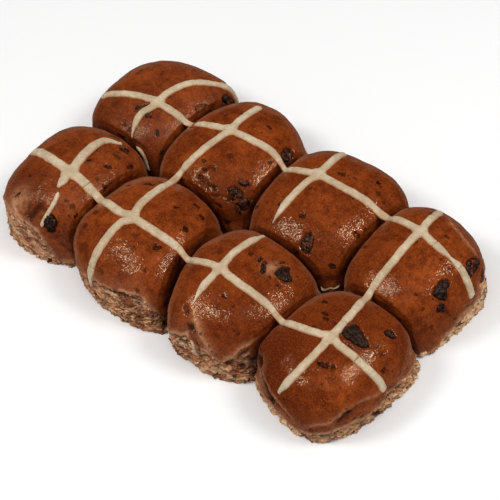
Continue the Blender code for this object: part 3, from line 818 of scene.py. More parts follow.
def capped_faces(rings, around, start=0):
    """Faces of a closed shape made of rings of points, with its first pole and its last after them."""
    ring = np.arange(around)
    top = rings * around
    return (
        sheet_faces(rings, around, wrap=True, start=start),
        start + pole_faces(ring, top, True),
        start + pole_faces(ring + top - around, top + 1, False),
    )


def make_piece(name, points, faces, material, stands_for=(), masks=None):
    """Makes one smooth piece of the slab from points in millimetres, parents it to the slab's body,
    and hides the imported solids that it stands for.
    """
    mesh = bpy.data.meshes.new(name)
    polygons = [polygon for group in faces for polygon in group.tolist()]
    mesh.from_pydata((points * MM).tolist(), [], polygons)
    for mask, values in (masks or {}).items():
        layer = mesh.attributes.new(mask, "FLOAT", "POINT")
        layer.data.foreach_set("value", values.astype(np.float32))
    mesh.materials.append(material)
    mesh.shade_smooth()
    piece = bpy.data.objects.new(name, mesh)
    bpy.context.scene.collection.objects.link(piece)
    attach(piece, SLAB)
    if stands_for:
        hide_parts(*stands_for)


# ---- buns ------------------------------------------------------------------------------------

AROUND = 440
DOME_ROWS = 112
WALL_ROWS = 50
BASE_ROWS = 8
MEAN_REACH = 39.0
PROFILE_STEPS = 2000
# How matt each bun's crust is, where it is not fully glazed.
DULL = {"front_1": 0.25, "back_1": 0.4}
# How much darker than usual each bun is baked.
USUALLY_BROWNED = 0.15
BROWNED = {"front_1": 0.2, "front_3": 0.3, "front_4": 0.5, "back_3": 0.25, "back_4": 0.2}
# Places baked darker (above 0) or lighter than the rest: plan offset, radius, how much.
BAKED_PATCHES = {
    "front_1": ((-20, -22, 9, 0.5), (-5, -24, 8, 0.4)),
    "front_3": ((36, -20, 10, 0.3), (-22, -32, 8, 0.3)),
    "front_4": ((-17, -25, 15, 0.5), (28, -20, 13, -0.5), (30, 6, 10, -0.3), (0, 15, 12, 0.3)),
    "back_1": ((10, -32, 12, 0.4), (-20, -20, 10, 0.3)),
    "back_2": ((28, -36, 13, 0.6), (8, -40, 9, 0.35), (-20, 12, 12, 0.2)),
    "back_3": ((8, -44, 14, 0.5), (-25, -10, 10, 0.3)),
    "back_4": ((-20, -24, 12, 0.3), (24, -16, 12, -0.2)),
}


def browned_shares(name, px, py):
    """How much darker than the lightest crust each point of one bun is baked."""
    browned = np.full(px.shape, BROWNED.get(name, USUALLY_BROWNED))
    for at_x, at_y, radius, amount in BAKED_PATCHES.get(name, ()):
        browned += amount * bump_share(px, py, at_x, at_y, radius)
    return np.clip(browned, 0.0, 1.0)


def dome_rings(rise):
    """Shares q of the widest outline whose rings lie evenly along the dome from crown to wall."""
    turn = np.linspace(0.0, 0.5 * math.pi, PROFILE_STEPS)
    q = np.sin(turn) ** (2.0 / PROFILE_POWER)
    z = np.cos(turn) ** (2.0 / PROFILE_POWER)
    step = np.hypot(np.diff(q) * MEAN_REACH, np.diff(z) * rise)
    length = np.concatenate([[0.0], np.cumsum(step)])
    return np.interp(np.arange(1, DOME_ROWS + 1) / DOME_ROWS * length[-1], length, q)


def grid_normals(points):
    """Outward unit normals of a grid of rings that run from crown to tray."""
    round_step = np.roll(points, -1, 1) - np.roll(points, 1, 1)
    return unit(np.cross(np.gradient(points, axis=0), round_step))


def make_bun(name, plan, material):
    """Rings of the dome from crown to tray, moved along their normals by bun_relief, and closed
    by a flat base of shrinking rings."""
    turn = 2.0 * math.pi * np.arange(AROUND) / AROUND
    dome_q = dome_rings(plan["crown"][2] - WIDEST_Z)
    wall_q = 1.0 + SIDE_SPAN * np.arange(1, WALL_ROWS + 1) / WALL_ROWS
    q = np.concatenate([dome_q, wall_q])[:, None]
    outline_x, outline_y = outline_offsets(plan, turn)
    px, py = outline_x * q, outline_y * q
    smooth, free = dome(plan, px, py)
    relief, masks = bun_relief(name, plan, px, py, smooth, free)
    masks["browned"] = browned_shares(name, px, py)
    masks["dull"] = np.full(px.shape, DULL.get(name, 0.0))
    masks["base"] = np.zeros(px.shape)
    skin = smooth + grid_normals(smooth) * relief[..., None]
    skin[..., 2] = np.maximum(skin[..., 2], 0.0)
    skin[-1, :, 2] = 0.0

    shrink = (1.0 - np.arange(1, BASE_ROWS + 1) / (BASE_ROWS + 1.0))[:, None, None]
    middle = skin[-1].mean(0)
    base = middle + (skin[-1] - middle) * shrink
    points = np.concatenate([skin, base]).reshape(-1, 3)
    points = np.concatenate([points, [skin[0].mean(0), middle]])
    for mask, values in masks.items():
        at_base = float(mask == "base")
        under = np.full(BASE_ROWS * AROUND, at_base)
        masks[mask] = np.concatenate([values.ravel(), under, [values[0].mean(), at_base]])
    faces = capped_faces(len(q) + BASE_ROWS, AROUND)
    make_piece(f"bun_{name}_skin", points, faces, material, (f"bun_{name}",), masks)
    torn = masks["torn"][: px.size].reshape(px.shape)
    return skin, torn, height_over_edge(name, px, py, smooth)[0]


# ---- flakes of torn crumb --------------------------------------------------------------------

FLAKE_AROUND = 8
FLAKE_RINGS = 9
FLAKE_SEED = 2000
FLAKE_COUNT = 70
FLAKE_COUNTS = {"front_1": 60, "front_3": 50, "front_4": 110, "back_4": 110}
FLAKE_SLANT = {"front_1": 0.7}  # how steeply the flakes of a bun lie, in radians, where not level
# Larger bits that stick out: place on the side, half length, and how baked, where 1 is dark crust.
BITS = {
    "front_1": ((-96, 1.5, 1.6, 0.3), (-88, 1.5, 2.0, 0.2), (-76, 2, 2.2, 1.0), (-72, 1.5, 1.8, 0.5)),
    "front_2": ((-42, 2, 2.0, 0.4), (-36, 2.5, 1.6, 0.9)),
    "front_3": ((-124, 2, 1.8, 0.5), (-118, 1.5, 2.2, 0.8), (-40, 2, 2.2, 1.0), (-46, 6, 2.0, 0.9)),
    "front_4": ((36, 3, 2.2, 0.5), (41, 4, 2.8, 0.2), (-8, 5, 2.0, 0.9)),
    "back_4": (
        (-50, 3, 2.4, 0.2), (-44, 2, 1.8, 0.6), (17, 20, 2.6, 0.4), (21, 22, 2.2, 0.9),
        (25, 25, 2.4, 1.0),
    ),
}


def pick_places(rng, name, plan, skin, torn, over, count):
    """Random points of the torn skin, more of them along the crust's edge, then the places of the
    bun's larger bits, with the skin's outward normals there."""
    weight = torn * (skin[..., 2] > 1.5) * (0.6 + 0.6 * np.exp(-((over / 1.5) ** 2)))
    weight = weight.ravel() / weight.sum()
    chosen = rng.choice(weight.size, count, p=weight).tolist()
    points = skin.reshape(-1, 3)
    for turn, z, _, _ in BITS.get(name, ()):
        place = wall_path(plan, ((turn, z), (turn + 1.0, z)), 2)[0]
        chosen.append(((points - place) ** 2).sum(1).argmin())
    return points[chosen], grid_normals(skin).reshape(-1, 3)[chosen]


def flake_axes(rng, name, normal):
    """Unit vectors along, up and out of each flake: nearly level, and leaning off the side."""
    count = len(normal)
    level = unit(np.cross([0.0, 0.0, 1.0], normal))
    slant = (rng.normal(0.0, 0.3, count) + FLAKE_SLANT.get(name, 0.0))[:, None]
    along = level * np.cos(slant) + np.cross(normal, level) * np.sin(slant)
    rise = np.cross(normal, along)
    lean = rng.uniform(-0.25, 0.4, count)[:, None]
    return along, rise * np.cos(lean) + normal * np.sin(lean), normal * np.cos(lean) - rise * np.sin(lean)


def flake_sizes(rng, name, count):
    """Half length, half height, half thickness and browning of each flake, the larger bits last."""
    size = rng.uniform(0.0, 1.0, (3, count)) ** np.array([[1.6], [1.6], [1.0]])
    length, height, thick = 0.6 + 2.0 * size[0] ** 2, 0.3 + 0.5 * size[1], 0.25 + 0.25 * size[2]
    baked = rng.uniform(0.0, 1.0, count)
    bits = BITS.get(name, ())
    for bit, (_, _, half_length, browned) in enumerate(bits, start=-len(bits)):
        length[bit], height[bit], thick[bit] = half_length, 0.6 * half_length, 0.5 * half_length
        baked[bit] = browned
    return length, height, thick, baked


def make_flakes(name, plan, skin, torn, over, material):
    """Ragged flakes of crumb: each a flat spindle, bent and lifted off the torn side.

    Along u from -1 to 1 a flake's half height is h * (1 - u^2)^0.6, shaken by noise. Its section is
    a flat ellipse turned outward at the top, and its ends are bent by u^2 away from the side.
    """
    rng = np.random.default_rng(FLAKE_SEED + BUNS.index(name))
    count = FLAKE_COUNTS.get(name, FLAKE_COUNT)
    place, normal = pick_places(rng, name, plan, skin, torn, over, count)
    count = len(place)
    along, up, out = flake_axes(rng, name, normal)
    length, height, thick, baked = flake_sizes(rng, name, count)
    u = np.linspace(-0.96, 0.96, FLAKE_RINGS)
    turn = 2.0 * math.pi * np.arange(FLAKE_AROUND) / FLAKE_AROUND
    shake = np.clip(1.0 + 0.4 * rng.normal(size=(count, FLAKE_RINGS, 1)), 0.3, 2.0)
    half = height[:, None, None] * ((1.0 - u**2) ** 0.6)[None, :, None] * shake
    bend = (rng.uniform(-0.3, 0.2, count) * length * 0.5)[:, None] * u**2
    sway = (rng.normal(0.0, 0.25, count) * height)[:, None] * np.sin(3.0 * u)
    spine = place + normal * (0.1 * height)[:, None]
    spine = spine[:, None] + along[:, None] * (length[:, None] * u)[..., None]
    spine = spine + normal[:, None] * bend[..., None] + up[:, None] * sway[..., None]
    ring = up[:, None, None] * (half * np.cos(turn))[..., None]
    ring = ring + out[:, None, None] * (thick[:, None, None] * np.sin(turn))[..., None]
    body = (spine[:, :, None] + ring).reshape(count, -1, 3)
    tips = spine[:, [0, -1]] + along[:, None] * np.array([[-0.15], [0.15]])
    points = np.concatenate([body, tips], axis=1)
    points[..., 2] = np.maximum(points[..., 2], 0.05)

    each = points.shape[1]
    start = (each * np.arange(count))[:, None, None]
    shapes = capped_faces(FLAKE_RINGS, FLAKE_AROUND)
    faces = tuple((shape[None] + start).reshape(-1, shape.shape[1]) for shape in shapes)
    masks = {"baked": np.repeat(baked, each), "level": points[..., 2].ravel()}
    make_piece(f"flakes_{name}", points.reshape(-1, 3), faces, material, (), masks)


# ---- crosses ---------------------------------------------------------------------------------

PASTE_WIDTH = 5.6
PASTE_HEIGHT = 1.5
PASTE_LEVEL = 0.25  # how far the paste's edge starts under the skin
PASTE_SUNK = 0.5
PASTE_ACROSS = 15
PASTE_STEP = 0.4
PASTE_SEED = 900
# How the paste's edges and crown wander along it: over what length, and by what share of each.
PASTE_WANDER_LENGTH = 6.0
EDGE_WANDER_SHARE = 0.13
CROWN_WANDER_SHARE = 0.15
PASTE_BUMP_SIZE = 2.2
PASTE_BUMP_SHARE = 0.2
SCRAP_HEIGHT = 1.2
SCRAP_TAPER = 2.5
SCRAP_END_WIDTH = 0.35
SCRAP_SEED = 1400
FILLET = 2.2
FILLET_SHARE = 1.0 - math.sqrt(0.5)  # how far a round fillet's middle lies from its corner
ARM_WIDTHS = {"front_1": 1.25, "front_2": 1.1}
TIP_LENGTHS = {"blunt": 2.5, "torn": 6.0, "pointed": 14.0, "seam": 4.0, "tail": 16.0, "narrow": 11.0}
TIP_HEIGHT = 0.75
TIP_WIDTHS = {"blunt": 0.6, "torn": 0.35, "pointed": 0.15, "seam": 0.85, "tail": 0.3, "narrow": 0.4}
# Thin places along an arm: how far along it, over what length, and the share of its width lost.
NECKS = {("back_4", 1): (22.0, 5.0, 0.6)}
BRIDGE_FREE = 0.97  # an arm leaves the skin to bridge a seam where the dome is less free than this
BRIDGE_ROWS = 14
BRIDGE_SUNK = 1.7
BRIDGE_BROWNED = 0.6
LEAST_SLOPE = 0.05  # keeps steps across the surface finite where it is pressed flat
# Over each seam, from the arm that comes first: width share of the bridge, its dip, and how deep a
# crack runs across its middle.
BRIDGES = {
    ("front_1", 1): (0.9, 1.0, 1.3),
    ("front_2", 1): (0.65, 1.4, 0.6),
    ("front_3", 1): (0.65, 1.2, 0.8),
    ("back_1", 1): (0.6, 1.4, 1.3),
    ("back_2", 1): (0.55, 1.2, 0.6),
    ("back_3", 1): (0.85, 1.1, 1.2),
    ("front_2", 3): (0.85, 0.8, 1.2),
    ("front_4", 3): (0.8, 0.7, 1.2),
}
# Cracks across arms, at distances along them from the cross's centre square.
CRACKS = {
    ("front_1", 1): (10.5,),
    ("front_2", 2): (37.0,),
    ("front_4", 1): (17.0,),
    ("back_4", 1): (9.5, 30.0),
}
CRACK_WIDTH = 0.45
# Loose runs of paste: bun, plan offsets they run through, and widest width.
SCRAPS = (
    ("front_1", ((8.5, -18), (11, -25), (11, -32), (10, -38.5)), 3.0),
    ("back_1", ((10, -37), (14, -37), (19, -39.5)), 2.4),
    ("front_3", ((4, -39.5), (8, -40), (10.5, -43)), 1.9),
    ("front_3", ((-3, -40.5), (0.5, -41)), 2.0),
    ("back_3", ((32, -45.5), (34, -45.5), (36, -42.5), (37, -41), (39, -39.5), (41, -36)), 0.9),
)


def catmull_rom(a, b, c, d, f):
    """The point at share f from b to c on the Catmull-Rom curve through a, b, c and d."""
    square = 2 * a - 5 * b + 4 * c - d
    cube = 3 * b - a - 3 * c + d
    return 0.5 * (2 * b + (c - a) * f + square * f**2 + cube * f**3)


def smooth_path(points, count):
    """A Catmull-Rom curve through the points, as count points evenly spaced in the parameter."""
    points = np.asarray(points, float)
    ends = np.concatenate([[2 * points[0] - points[1]], points, [2 * points[-1] - points[-2]]])
    t = np.linspace(0.0, len(points) - 1.0 - 1e-9, count)
    k = t.astype(int)
    return catmull_rom(ends[k], ends[k + 1], ends[k + 2], ends[k + 3], (t - k)[:, None])


def even_path(plan, points, to_seam=False):
    """The smooth path through plan offsets, respaced to even steps along the dome, and cut where
    the dome starts to fall into a seam if it runs to one."""
    dense = smooth_path(points, 400)
    skin, free = dome(plan, dense[:, 0], dense[:, 1])
    pressed = np.flatnonzero(free < BRIDGE_FREE)
    if to_seam and len(pressed):
        dense, skin = dense[: pressed[0] + 1], skin[: pressed[0] + 1]
    length = np.concatenate([[0.0], np.cumsum(np.linalg.norm(np.diff(skin, axis=0), axis=1))])
    count = max(int(length[-1] / PASTE_STEP), 4)
    even = np.linspace(0.0, length[-1], count + 1)
    return np.stack([np.interp(even, length, dense[:, k]) for k in (0, 1)], -1), even


def bun_skin(name, plan, px, py):
    """The dome with its slow lumps but without the finer relief, and its normal."""
    points, free = dome(plan, px, py)
    normal = dome_slopes(plan, px, py)[2]
    return points + normal * lumps(name, points, free)[..., None], normal


def side_offsets(plan, px, py, along, distance):
    """Plan offsets that lie a distance across the direction along, measured on the surface.

    The surface's slopes along px and py are vectors in space. The wanted step across is put
    together from them by least squares.
    """
    slope_x, slope_y, normal = dome_slopes(plan, px, py)
    across = unit(np.cross(normal, slope_x * along[..., :1] + slope_y * along[..., 1:]))
    xx = (slope_x**2).sum(-1) + LEAST_SLOPE
    yy = (slope_y**2).sum(-1) + LEAST_SLOPE
    xy = (slope_x * slope_y).sum(-1)
    bx, by = (slope_x * across).sum(-1), (slope_y * across).sum(-1)
    det = xx * yy - xy**2
    dx, dy = (yy * bx - xy * by) / det, (xx * by - xy * bx) / det
    return px[..., None] + dx[..., None] * distance, py[..., None] + dy[..., None] * distance


def paste_section(across):
    """Height of the paste, as a share of its crown, at -1 to 1 across it: flat with round edges."""
    return np.sqrt(np.maximum(1.0 - np.abs(across) ** 3, 0.0))


def paste_rows(name, plan, path, run, half, height, seed):
    """Top and bed points across a run of paste, whose edges and crown wander a little."""
    across = np.linspace(-1.0, 1.0, PASTE_ACROSS)
    line = np.stack([run / PASTE_WANDER_LENGTH, 0.0 * run, 0.0 * run], -1)
    left, right = (1.0 + EDGE_WANDER_SHARE * layered_noise(line, seed + k, 2) for k in (1, 4))
    edges = np.where(across < 0.0, left[:, None], right[:, None])
    along = np.gradient(path, axis=0)
    sx, sy = side_offsets(plan, path[:, 0], path[:, 1], along, half[:, None] * edges * across)
    skin, normal = bun_skin(name, plan, sx, sy)
    crown = height * (1.0 + CROWN_WANDER_SHARE * gradient_noise(line, seed + 7))
    bumps = 1.0 + PASTE_BUMP_SHARE * layered_noise(skin / PASTE_BUMP_SIZE, seed + 9, 2)
    lift = crown[:, None] * paste_section(across) * bumps - PASTE_LEVEL
    return skin + normal * lift[..., None], skin - normal * PASTE_SUNK


def cracked(run, places):
    """1 along a run of paste, falling to 0 in a thin crack at each of the places."""
    whole = np.ones_like(run)
    for place in places:
        whole = whole * (1.0 - np.exp(-(((run - place) / CRACK_WIDTH) ** 2)))
    return whole


def bridge_rows(rows, section, heading):
    """Rows of paste, carried on from the last row to a section over a seam by a Hermite curve."""
    middle = PASTE_ACROSS // 2
    gap = np.linalg.norm(section[middle] - rows[-1, middle])
    t = (np.arange(1, BRIDGE_ROWS + 1) / BRIDGE_ROWS)[:, None, None]
    leaving = rows[-1, middle] - rows[-3, middle]
    leaving = leaving * (gap / np.linalg.norm(leaving))
    start = rows[-1] * (2 * t**3 - 3 * t**2 + 1) + leaving * (t**3 - 2 * t**2 + t)
    end = section * (3 * t**2 - 2 * t**3) + heading * gap * (t**3 - t**2)
    return np.concatenate([rows, start + end])


def arm_rows(name, plan, centre, k, route, ending, width, bridge):
    """Top and bed points across an arm from the cross's centre square to the arm's end.

    The arm leaves the square with round fillets, narrows over its tip, and goes on over the seam if
    it has a bridge.
    """
    half = width / 2.0
    start = np.array(centre, float) + np.array(ARM_DIRECTIONS[k]) * half
    path, run = even_path(plan, [start, *route], to_seam=ending == "seam")
    left = run[-1] - run
    tip = smooth_step(0.0, TIP_LENGTHS[ending], left)
    narrow = TIP_WIDTHS[ending] + (1.0 - TIP_WIDTHS[ending]) * tip
    neck_at, neck_length, neck = NECKS.get((name, k), (0.0, 1.0, 0.0))
    narrow = narrow * (1.0 - neck * np.exp(-(((run - neck_at) / neck_length) ** 2)))
    fillet = FILLET - np.sqrt(FILLET**2 - np.maximum(FILLET - run, 0.0) ** 2)
    height = PASTE_HEIGHT * (TIP_HEIGHT + (1.0 - TIP_HEIGHT) * tip)
    height = height * cracked(run, CRACKS.get((name, k), ()))
    if ending != "seam":
        height = height * np.sqrt(smooth_step(-0.15, 1.2, left))
    seed = PASTE_SEED + 40 * BUNS.index(name) + 10 * k
    top, bed = paste_rows(name, plan, path, run, half * narrow + fillet, height, seed)
    clear = run > FILLET * FILLET_SHARE + PASTE_STEP / 2.0
    top, bed = top[clear], bed[clear]
    if bridge is not None:
        top_section, bed_section, heading = bridge
        top = bridge_rows(top, top_section, heading)
        bed = bridge_rows(bed, bed_section, heading)
    return top, bed


def centre_square(name, plan, centre, width):
    """Top, bed and thinness of the square in a cross's middle, whose corners bulge into fillets."""
    across = np.linspace(-1.0, 1.0, PASTE_ACROSS)
    x, y = np.meshgrid(across, across, indexing="ij")
    corner = np.abs(x * y) ** 3
    out = (1.0 + FILLET * FILLET_SHARE / (width / 2.0) * corner) * width / 2.0
    skin, normal = bun_skin(name, plan, centre[0] + x * out, centre[1] + y * out)
    lift = PASTE_HEIGHT * paste_section(np.minimum(np.abs(x), np.abs(y))) - PASTE_LEVEL
    return skin + normal * lift[..., None], skin - normal * PASTE_SUNK, corner


def thin_edges(rows):
    """How thin the paste is at each of its points: 1 at its edges, 0 along its crown."""
    return np.tile(np.abs(np.linspace(-1.0, 1.0, PASTE_ACROSS)) ** 5, rows)


def rim_wall(rim, count):
    """Quads from a rim of the paste's top down to its bed, whose points come count later."""
    return np.stack([rim[1:], rim[:-1], rim[:-1] + count, rim[1:] + count], -1)


def make_cross(name, plan, cross, bridges, material):
    """A plus of piped paste: a centre square and four arms, each a grid of points across and along.

    The paste's height over the skin is its crown height times (1 - s^3)^(1/2), with s from -1 to 1
    across an arm, and the lesser of the two s in the centre square. The bed lies just inside the
    skin, and a wall joins the two all round.
    """
    centre, arms = cross[0], cross[1:]
    width = PASTE_WIDTH * ARM_WIDTHS.get(name, 1.0)
    tops, beds, thin = ([grid] for grid in centre_square(name, plan, centre, width))
    count = PASTE_ACROSS**2
    index = np.arange(count).reshape(PASTE_ACROSS, PASTE_ACROSS)
    sides = (index[0, ::-1], index[-1, :], index[:, 0], index[::-1, -1])
    quads, rims = [sheet_faces(PASTE_ACROSS, PASTE_ACROSS)], []
    for k, (route, ending) in enumerate(arms):
        arm = arm_rows(name, plan, centre, k, route, ending, width, bridges.get((name, k)))
        rows = len(arm[0])
        tops.append(arm[0])
        beds.append(arm[1])
        bridged = np.arange(rows)[::-1] < BRIDGE_ROWS // 2 * ((name, k) in bridges)
        thin.append(np.maximum(thin_edges(rows), BRIDGE_BROWNED * np.repeat(bridged, PASTE_ACROSS)))
        grid = count + np.arange(rows * PASTE_ACROSS).reshape(rows, PASTE_ACROSS)
        whole = np.concatenate([sides[k][None], grid])
        corners = (whole[:-1, :-1], whole[1:, :-1], whole[1:, 1:], whole[:-1, 1:])
        quads.append(np.stack(corners, -1).reshape(-1, 4))
        rims.append(np.concatenate([whole[:, 0], whole[-1, 1:], whole[::-1, -1][1:]]))
        count += rows * PASTE_ACROSS
    top_faces = np.concatenate(quads)
    walls = np.concatenate([rim_wall(rim, count) for rim in rims])
    faces = (top_faces, top_faces[:, ::-1] + count, walls)
    points = np.concatenate([grid.reshape(-1, 3) for grid in tops + beds])
    masks = {"thin": np.concatenate([share.ravel() for share in thin + thin])}
    make_piece(f"cross_{name}_paste", points, faces, material, (f"cross_{name}",), masks)


def make_scrap(number, name, plan, route, width, material):
    """A loose run of paste that thins to nothing at both ends: a top grid over a bed grid."""
    path, run = even_path(plan, route)
    ends = smooth_step(-0.1, SCRAP_TAPER, np.minimum(run, run[-1] - run))
    half = width / 2.0 * (SCRAP_END_WIDTH + (1.0 - SCRAP_END_WIDTH) * ends)
    seed = SCRAP_SEED + 20 * number
    top, bed = paste_rows(name, plan, path, run, half, SCRAP_HEIGHT * np.sqrt(ends), seed)
    rows = len(top)
    count = rows * PASTE_ACROSS
    top_faces = sheet_faces(rows, PASTE_ACROSS)
    index = np.arange(count).reshape(rows, PASTE_ACROSS)
    rim = np.concatenate([index[:, 0], index[-1, 1:], index[::-1, -1][1:], index[0, ::-1][1:]])
    faces = (top_faces, top_faces[:, ::-1] + count, rim_wall(rim, count))
    points = np.concatenate([top.reshape(-1, 3), bed.reshape(-1, 3)])
    masks = {"thin": np.tile(thin_edges(rows), 2)}
    make_piece(f"paste_scrap_{number}", points, faces, material, (), masks)


def seam_neighbour(name, k):
    """The bun that arm k of a bun's cross runs on to, and the number of the arm that meets it."""
    row, column = name[:-2], int(name[-1])
    if k < 2:
        return f"{row}_{column + (-1, 1)[k]}", 1 - k
    return ("front_" if row == "back" else "back_") + str(column), 5 - k


def arm_end(name, plan, k):
    """The point on the skin where an arm leaves it to bridge a seam, or where it ends."""
    centre, route = CROSSES[name][0], CROSSES[name][1 + k][0]
    path, _ = even_path(plan, [centre, *route], to_seam=True)
    return bun_skin(name, plan, path[-1:, 0], path[-1:, 1])[0][0]


def bridges_of(plans):
    """For each arm that bridges a seam: the section of paste over the seam that it shares with the
    arm coming from the other side, top and bed, and its heading there."""
    across = np.linspace(-1.0, 1.0, PASTE_ACROSS)[:, None]
    bridges = {}
    for (name, k), (share, dip, crack) in BRIDGES.items():
        other, other_k = seam_neighbour(name, k)
        start, end = arm_end(name, plans[name], k), arm_end(other, plans[other], other_k)
        heading = unit(end - start)
        up = unit(np.array([0.0, 0.0, 1.0]) - heading * heading[2])
        middle = (start + end) / 2.0 - up * dip
        crown = up * ((PASTE_HEIGHT - crack) * paste_section(across) - PASTE_LEVEL)
        for arm, way in (((name, k), heading), ((other, other_k), -heading)):
            side = np.cross(up, way) * (PASTE_WIDTH / 2.0 * share) * across
            bridges[arm] = (middle + side + crown, middle + side - up * BRIDGE_SUNK, way)
    return bridges


# ---- chocolate -------------------------------------------------------------------------------

LUMP_AROUND = 64
LUMP_RINGS = 28
LUMP_DEPTH = 2.5
LUMP_LEVEL = 0.3
LUMP_RAG = 0.24
LUMP_GRIT = 0.4
LUMP_GRAIN = 2.4
LUMP_PORE_SIZE = 2.2
LUMP_SEED = 700
SMALL_CHIP_SEED = 1800
SMALL_CHIP_CRUST = 0.5
SMALL_CHIP_PORES = 0.6
# Each packed lump of chocolate: its bun, how far it stands out, how deep its pores are, how much
# crust clings to it, and its outline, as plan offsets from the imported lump's middle.
LUMPS_OF_CHOCOLATE = {
    "chip_01": (
        "front_4", 1.3, 0.5, 0.0, ((-9, -2), (-8, 3), (-5, 6), (0, 4), (7, 1), (7, -2), (2, -4), (-5, -4)),
    ),
    "chip_02": ("front_3", 1.1, 0.7, 0.0, ((-4, -4), (-4, 2), (-2, 6), (1, 2), (5, 0), (4, -4), (-1, -5))),
    "chip_03": ("front_1", 1.6, 0.8, 0.0, ((-3, -1.5), (-3, 3), (0, 4), (3.5, 2.5), (2.5, -1.5))),
    "chip_04": ("back_1", 0.4, 0.6, 0.5, ((0, -2), (-1, 3), (1, 6), (3, 3), (3, -1))),
    "chip_05": ("back_2", 0.6, 0.9, 1.0, ((2, -3), (1, 2), (3, 6), (6, 3), (7, -1), (5, -4))),
    "chip_06": ("back_2", 0.8, 0.7, 0.3, ((-2, -2), (0, 1), (5, 2), (5, -1), (1, -3))),
    "chip_07": ("back_3", 0.5, 1.0, 0.6, ((-2, -4), (-4, 1), (-2, 5), (2, 2), (3, -3))),
    "chip_08": ("back_4", 1.3, 0.6, 0.0, ((0, -6), (-1, 2), (1, 6), (3, 5), (4, 1), (6, -2), (4, -5))),
    "chip_09": ("back_4", 0.5, 1.1, 1.0, ((1, -5), (0, 2), (2, 8), (4, 3), (5, -6), (3, -8))),
    "chip_10": ("front_4", 0.6, 0.4, 0.2, ((-2, -1), (-1, 3), (3, 2), (2, -1))),
}
# Smaller chips: bun, plan offset, length, width, turn in degrees, and how far each stands out.
SMALL_CHIPS = (
    ("back_2", (35.5, -28.5), 6.0, 3.0, 60.0, 0.7),
    ("back_2", (30.0, -21.5), 6.5, 2.6, 25.0, 0.5),
    ("back_2", (39.0, -25.0), 4.0, 1.8, 55.0, 0.5),
    ("back_2", (34.5, -33.5), 3.0, 2.0, 20.0, 0.5),
    ("back_4", (35.0, -23.5), 5.0, 2.6, 65.0, 0.9),
    ("front_3", (16.5, 15.0), 13.0, 2.8, -52.0, 0.4),
    ("front_3", (9.5, 19.0), 3.8, 3.0, 60.0, 0.6),
    ("back_1", (-2.0, -18.0), 6.0, 2.4, 75.0, 0.3),
    ("back_1", (5.5, -18.0), 3.4, 3.0, 0.0, 0.3),
)


def closed_curve(corners, count):
    """A closed Catmull-Rom curve through the corners, as count points."""
    corners = np.asarray(corners, float)
    t = np.arange(count) * len(corners) / count
    k = t.astype(int)
    a, b, c, d = (corners[(k + step) % len(corners)] for step in (-1, 0, 1, 2))
    return catmull_rom(a, b, c, d, (t - k)[:, None])


def ellipse(length, width, turn, count):
    """Points of an ellipse about the origin, turned anticlockwise by turn."""
    around = 2.0 * math.pi * np.arange(count) / count
    along, across = length / 2.0 * np.cos(around), width / 2.0 * np.sin(around)
    x = along * math.cos(turn) - across * math.sin(turn)
    y = along * math.sin(turn) + across * math.cos(turn)
    return np.stack([x, y], -1)


def plan_place(plan, point):
    """The plan offset at which the dome lies straight over or under a point in space."""
    offset = point[:2] - plan["crown"][:2]
    for _ in range(5):
        made, _ = dome(plan, offset[:1], offset[1:])
        offset = offset + point[:2] - made[0, :2]
    return offset


def lump_outline(plan, node):
    """Outline and middle of one lump of chocolate, as plan offsets on its bun."""
    low, high = node_box(node)
    outline = closed_curve(LUMPS_OF_CHOCOLATE[node][4], LUMP_AROUND)
    outline = outline + plan_place(plan, (low + high) / 2.0)
    return outline, outline.mean(0)


def lump_points(name, plan, outline, middle, stands, porous, seed):
    """A rough lump that follows the dome.

    Its rings are its outline shrunk to its middle by sin(t)^0.5. Their height over the skin is
    stands * cos(t)^0.6 on top, and a plain bowl below.
    """
    flat_points = np.pad(outline, ((0, 0), (0, 1))) / LUMP_GRAIN
    ragged = 1.0 + LUMP_RAG * layered_noise(flat_points, seed + 2)
    outline = middle + (outline - middle) * ragged[:, None]
    tilt = (math.pi * np.arange(1, LUMP_RINGS + 1) / (LUMP_RINGS + 1))[:, None]
    offsets = middle + (np.sin(tilt) ** 0.5)[..., None] * (outline - middle)
    offsets = np.concatenate([offsets.reshape(-1, 2), [middle, middle]])
    skin, normal = bun_skin(name, plan, offsets[:, 0], offsets[:, 1])
    over = np.cos(tilt)
    height = np.where(over > 0.0, stands * np.abs(over) ** 0.6, LUMP_DEPTH * over)
    height = np.concatenate([np.tile(height, LUMP_AROUND).ravel(), [stands, -LUMP_DEPTH]]) - LUMP_LEVEL
    rough = LUMP_GRIT * layered_noise(skin / LUMP_GRAIN, seed + 1)
    rough -= porous * smooth_step(0.45, 0.2, pore_noise(skin / LUMP_PORE_SIZE, seed + 4))
    return skin + normal * (height + rough)[:, None]


def make_lumps(plans, material):
    """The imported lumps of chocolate, each as its own piece."""
    for number, (node, look) in enumerate(LUMPS_OF_CHOCOLATE.items()):
        name, stands, porous, crusted, _ = look
        outline, middle = lump_outline(plans[name], node)
        seed = LUMP_SEED + 10 * number
        points = lump_points(name, plans[name], outline, middle, stands, porous, seed)
        faces = capped_faces(LUMP_RINGS, LUMP_AROUND)
        masks = {"crusted": np.full(len(points), crusted)}
        make_piece(f"{node}_lump", points, faces, material, (node,), masks)


def make_small_chips(plans, material):
    """The smaller chips, all in one piece."""
    bodies, faces, start = [], [], 0
    for number, (name, middle, length, width, turn, stands) in enumerate(SMALL_CHIPS):
        middle = np.array(middle)
        outline = middle + ellipse(length, width, math.radians(turn), LUMP_AROUND)
        seed = SMALL_CHIP_SEED + 10 * number
        bodies.append(lump_points(name, plans[name], outline, middle, stands, SMALL_CHIP_PORES, seed))
        faces += capped_faces(LUMP_RINGS, LUMP_AROUND, start)
        start += len(bodies[-1])
    masks = {"crusted": np.full(start, SMALL_CHIP_CRUST)}
    make_piece("small_chips", np.concatenate(bodies), faces, material, (), masks)


# ---- materials -------------------------------------------------------------------------------

